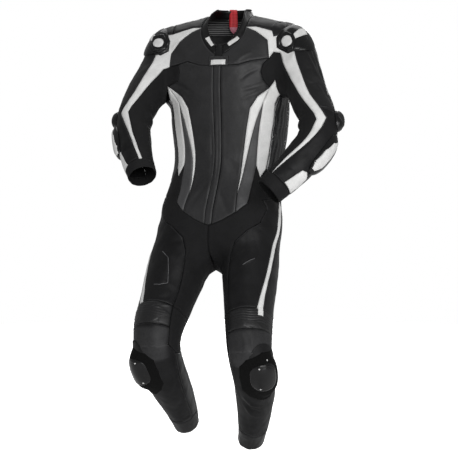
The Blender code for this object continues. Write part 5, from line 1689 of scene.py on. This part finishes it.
@dataclass
class Neck:
    """Collar with its binding and blank tips, neck tab, hanging loop and lining."""

    hub: tuple[float, float] = (0.0, 0.030)     # metres: the middle that the collar goes round
    foot: float = -0.040        # metres: heights between which the collar sinks
    head: float = 0.047
    sink: float = 9.0
    half: float = 0.070         # metres: half the collar's width
    lean: float = 1.3           # over 1, the sinking keeps to the top
    side_sink: float = 0.6      # how much more the sides sink than the back
    loop_spread: float = 1.12   # the webbing lies flatter at its folded end than a stiff strip
    loop_drop: float = 7.0
    binding: float = 2.0
    piping: float = 1.7
    sector: float = 6.0         # the collar's edge is read in steps of so many degrees
    rim: int = 4                # from so many points in each
    tip: Outline = ((-19, -7.5), (19, -7.5), (19, 7.5), (-19, 7.5))
    tips: dict[str, tuple[Triple, Triple, Triple]] = field(default_factory=lambda: {
        # place, way outward, way along
        "left": ((42, -84, -67), (-0.07, -0.81, 0.59), (27, 11, 19)),
        "right": ((-30, -83, -66), (0.10, -0.80, 0.59), (-22, 15, 22))})
    tab: Outline = ((-30, -15), (30, -15), (30, 15), (-30, 15))
    tab_spot: Spot = Spot("trunk", 6.20, 89)
    label: Outline = ((-22.5, -3.5), (22.5, -3.5), (22.5, 11.5), (-22.5, 11.5))

    def settle(self, points: np.ndarray) -> np.ndarray:
        """The collar's points, its top edge sunk by the weight of the leather.

        Args:
            points: one a row, in metres.

        Returns:
            The points where they come to rest.
        """
        share = np.clip((points[:, 2] - self.foot) / (self.head - self.foot), 0, 1)
        aside = np.clip(np.abs(points[:, 0] - self.hub[0]) / self.half, 0, 1) ** 2
        down = self.sink * MM * share ** self.lean * (1 + self.side_sink * aside)
        return points - np.array([0, 0, 1.0]) * down[:, None]

    def edge(self, top: bool) -> list[Vector]:
        """The collar's top or bottom edge.

        Args:
            top: whether it is the top one.

        Returns:
            Points round the neck, from one end of the collar's opening to the other.
        """
        points = self.settle(places_of(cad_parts["collar"].data))
        angle = np.degrees(np.arctan2(points[:, 0] - self.hub[0], -(points[:, 1] - self.hub[1])))
        around = []
        for start in np.arange(-180, 180, self.sector):
            near = points[(angle >= start) & (angle < start + self.sector)]
            if len(near) >= self.rim:
                order = near[near[:, 2].argsort()]
                rows = order[-self.rim:] if top else order[:self.rim]
                around.append((start, Vector(rows.mean(0))))
        after = around[1:] + around[:1]
        gaps = [(b[0] - a[0]) % 360 for a, b in zip(around, after)]
        split = gaps.index(max(gaps))
        return [place for _, place in around[split + 1:] + around[:split + 1]]

    def make(self) -> None:
        """Make them all."""
        self.make_collar()
        self.make_tab()
        self.make_loop()
        self.make_lining()

    def make_collar(self) -> None:
        """The collar, with a blank tip at each end."""
        mesh = smooth_copy("collar", 1, 0.5)
        move_to(mesh, self.settle(places_of(mesh)))
        collar = finish_piece(mesh, "collar_cloth", Finish.SLEEVE, 0, ("collar",))
        front = Ground(["collar_cloth"])
        for side, (centre, facing, along) in self.tips.items():
            out, way = Vector(facing).normalized(), Vector(along)
            way = (way - out * way.dot(out)).normalized()
            Plate(f"collar_tip_{side}", self.tip, TIP, Finish.LABEL, WHITE, wall=1.0).lay_cloth(
                front, (Vector(centre) * MM, out, out.cross(way), way))

    def make_tab(self) -> None:
        """The tab across the top of the zip, with a blank label."""
        mesh = smooth_copy("neck_tab", 2, 0.7)
        finish_piece(mesh, "neck_tab_base", Finish.SLEEVE, 0, ("neck_tab",))
        fronts = [f"{kind}_{side}_cloth" for kind in ("front", "yoke_front") for side in SIDES]
        ground = Ground(["neck_tab_base"] + fronts + ["zip_cloth", "zip_flap_cloth"])
        axes = self.tab_spot.axes()
        Plate("neck_tab_cloth", self.tab, TAB, Finish.BODY, BLACK, ease=10).lay_cloth(
            ground, axes)
        Plate("neck_tab_label", self.label, LABEL_STEP, Finish.LABEL, WHITE, wall=0.8).lay_cloth(
            Ground(["neck_tab_cloth"]), axes)

    def make_loop(self) -> None:
        """The hanging loop, a little wider and longer than the strip that stands for it."""
        mesh = smooth_copy("hanging_loop", 1, 0.8)
        points = places_of(mesh)
        low, high = points.min(0), points.max(0)
        middle = (low + high) / 2
        points[:, 0] = middle[0] + (points[:, 0] - middle[0]) * self.loop_spread
        points[:, 2] -= self.loop_drop * MM * (high[2] - points[:, 2]) / (high[2] - low[2])
        move_to(mesh, points)
        loop = finish_piece(mesh, "hanging_loop_webbing", Finish.RED, 0, ("hanging_loop",))

    def make_lining(self) -> None:
        """The mesh inside the collar and the shoulders."""
        bm = one_sheet("neck_lining", MIDDLES["trunk"], MESH_WALL, True)
        bmesh.ops.subdivide_edges(bm, edges=bm.edges, cuts=1, use_grid_fill=True)
        mesh = to_mesh(bm, "neck_lining_cloth")
        lining = finish_piece(mesh, "neck_lining_cloth", Finish.LINING, MESH_WALL,
                              ("neck_lining",))


@dataclass
class Trim:
    """Collar binding and piping, the thighs' pressed ridges, and the zips at the calves."""

    neck: Neck
    ridge: float = 0.8
    ridges: dict[str, Path] = field(default_factory=lambda: {
        "left": ((3.19, 90), (3.08, 78), (3.0, 68)),
        "right": ((2.94, 75), (3.12, 91), (3.45, 98), (3.83, 105), (3.92, 90), (3.92, 77))})
    zip_turns: dict[str, tuple[float, float]] = field(default_factory=lambda: {
        "left": (-166, -167), "right": (-166, -168)})       # at its top, and at the hem
    zip_stations: tuple[float, ...] = (7.4, 8.3, 9.2, 9.5)
    teeth: Teeth = Teeth()

    def make(self) -> None:
        """Make them all."""
        tube("collar_binding", self.neck.edge(True), self.neck.binding, Finish.BINDING)
        tube("collar_piping", self.neck.edge(False), self.neck.piping, Finish.BINDING)
        for side, path in self.ridges.items():
            cloth = Ground([f"thigh_{side}_cloth"]).tree
            points = [Vector(p) for p in trace(cloth, f"leg_{side}", path)]
            # light grey tube: painted highlight along the ridge's crest, with rubbed wear
            tube(f"thigh_{side}_ridge", points, self.ridge, Finish.RIDGE)
        for side, (top, hem) in self.zip_turns.items():
            line = f"leg_{side}"
            tree = Ground([f"calf_{side}_cloth", f"hem_{side}_cloth"]).tree
            points = trace(tree, line, tuple(zip(self.zip_stations, (top, top, hem, hem))))
            stations = np.linspace(self.zip_stations[0], self.zip_stations[-1], len(points))
            out = [Spot(line, station, top).axes()[1] for station in stations]
            self.teeth.make(f"calf_zip_{side}_teeth", points, out)


# ---- studio -------------------------------------------------------------------------------
@dataclass(frozen=True)
class Lamp:
    """A soft rectangular light, aimed at the suit's middle."""

    name: str
    turn: float                 # degrees round from the camera, to its right
    height: float               # metres over the suit's middle
    far: float                  # metres out
    size: tuple[float, float]   # metres
    power: float                # watts


@dataclass
class Studio:
    """Pale floor, soft lights and the camera."""

    azimuth: float = 17.0
    elevation: float = 4.0
    distance: float = 4.2       # metres
    aim: tuple[float, float] = (0.003, -0.630)      # metres: along the camera's right, and up
    lens: float = 108.24
    sensor: float = 36.0
    floor_height: float = -1.315        # metres, as is its radius
    floor_radius: float = 3.0
    floor_glow: float = 0.95    # so that the floor is as white as the backdrop
    ambient: float = 0.36
    lamps: tuple[Lamp, ...] = (
        Lamp("key", 8, 1.1, 3.6, (1.8, 1.8), 60), Lamp("fill", 34, 0.2, 3.6, (1.4, 2.4), 24),
        Lamp("top", 180, 2.6, 1.2, (2.4, 1.4), 22), Lamp("back", 172, 0.9, 3.6, (2.0, 2.0), 70))

    def put_camera(self) -> None:
        """A long lens at chest height, level with the suit."""
        a, e = math.radians(self.azimuth), math.radians(self.elevation)
        right = Vector((math.cos(a), math.sin(a), 0))
        look = Vector((-math.sin(a) * math.cos(e), math.cos(a) * math.cos(e), -math.sin(e)))
        data = bpy.data.cameras.new("camera")
        data.sensor_width = self.sensor
        data.lens = self.lens
        camera = put("camera", data)
        camera.location = right * self.aim[0] + Vector((0, 0, self.aim[1])) - look * self.distance
        camera.rotation_euler = look.to_track_quat("-Z", "Y").to_euler()
        bpy.context.scene.camera = camera

    def put_lamp(self, lamp: Lamp) -> None:
        """Put one light in place.

        Args:
            lamp: its place, size and power.
        """
        angle = math.radians(self.azimuth + lamp.turn)
        data = bpy.data.lights.new(lamp.name, "AREA")
        data.shape = "RECTANGLE"
        data.size, data.size_y = lamp.size
        data.energy = lamp.power
        light = put(lamp.name, data)
        light.location = Vector((math.sin(angle) * lamp.far, -math.cos(angle) * lamp.far,
                                 self.aim[1] + lamp.height))
        way = Vector((0, 0, self.aim[1])) - light.location
        light.rotation_euler = way.to_track_quat("-Z", "Y").to_euler()

    def put_world(self) -> None:
        """Even white light all round, and a full white backdrop where the camera looks past the suit."""
        world = bpy.data.worlds.new("studio")
        world.use_nodes = True
        tree = world.node_tree
        ambient = tree.nodes["Background"]
        ambient.inputs["Color"].default_value = linear("#ffffff")
        ambient.inputs["Strength"].default_value = self.ambient
        seen = add(tree, "Background", {"Color": linear("#ffffff"), "Strength": 1.0})
        path = add(tree, "LightPath")
        mixed = add(tree, "MixShader", links={0: path.outputs["Is Camera Ray"],
                                              1: ambient.outputs[0], 2: seen.outputs[0]})
        tree.links.new(mixed.outputs[0], tree.nodes["World Output"].inputs["Surface"])
        bpy.context.scene.world = world
        bpy.context.scene.view_settings.view_transform = "Standard"

    def put_floor(self) -> None:
        """A round white floor under the hems, which glows for the camera alone."""
        bm = bmesh.new()
        bmesh.ops.create_circle(bm, cap_ends=True, radius=self.floor_radius, segments=96)
        floor = put("floor", to_mesh(bm, "floor"))
        floor.location.z = self.floor_height
        graph = Graph("studio paper, matt white")
        colour = graph.tones(graph.noise(3.0), "#f6f6f6", "#fbfbfb", 0.3, 0.7)
        eye = add(graph.tree, "LightPath").outputs["Is Camera Ray"]
        glow = graph.math("MULTIPLY", eye, self.floor_glow)
        graph.tree.links.new(glow, graph.shader.inputs["Emission Strength"])
        paper = graph.finish(colour, 1.0, 0.0, more={"Emission Color": linear("#ffffff")})
        floor.data.materials.append(paper)

    def make(self) -> None:
        """Put everything in place."""
        self.put_camera()
        for lamp in self.lamps:
            self.put_lamp(lamp)
        self.put_world()
        self.put_floor()


def main() -> None:
    """Build the suit, piece by piece."""
    logging.basicConfig(level=logging.INFO, format="%(message)s")
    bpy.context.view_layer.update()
    Studio().make()
    tailor = Tailor()
    tailor.cut()
    for cut in CUTS:
        for node, line in cut.nodes():
            tailor.sew(cut, node, MIDDLES[line])
    neck = Neck()
    for assembly in (ShoulderCaps(), ArmGuards(), KneeSliders(), Patches(), neck, Trim(neck)):
        assembly.make()


if __name__ == "__main__":
    main()
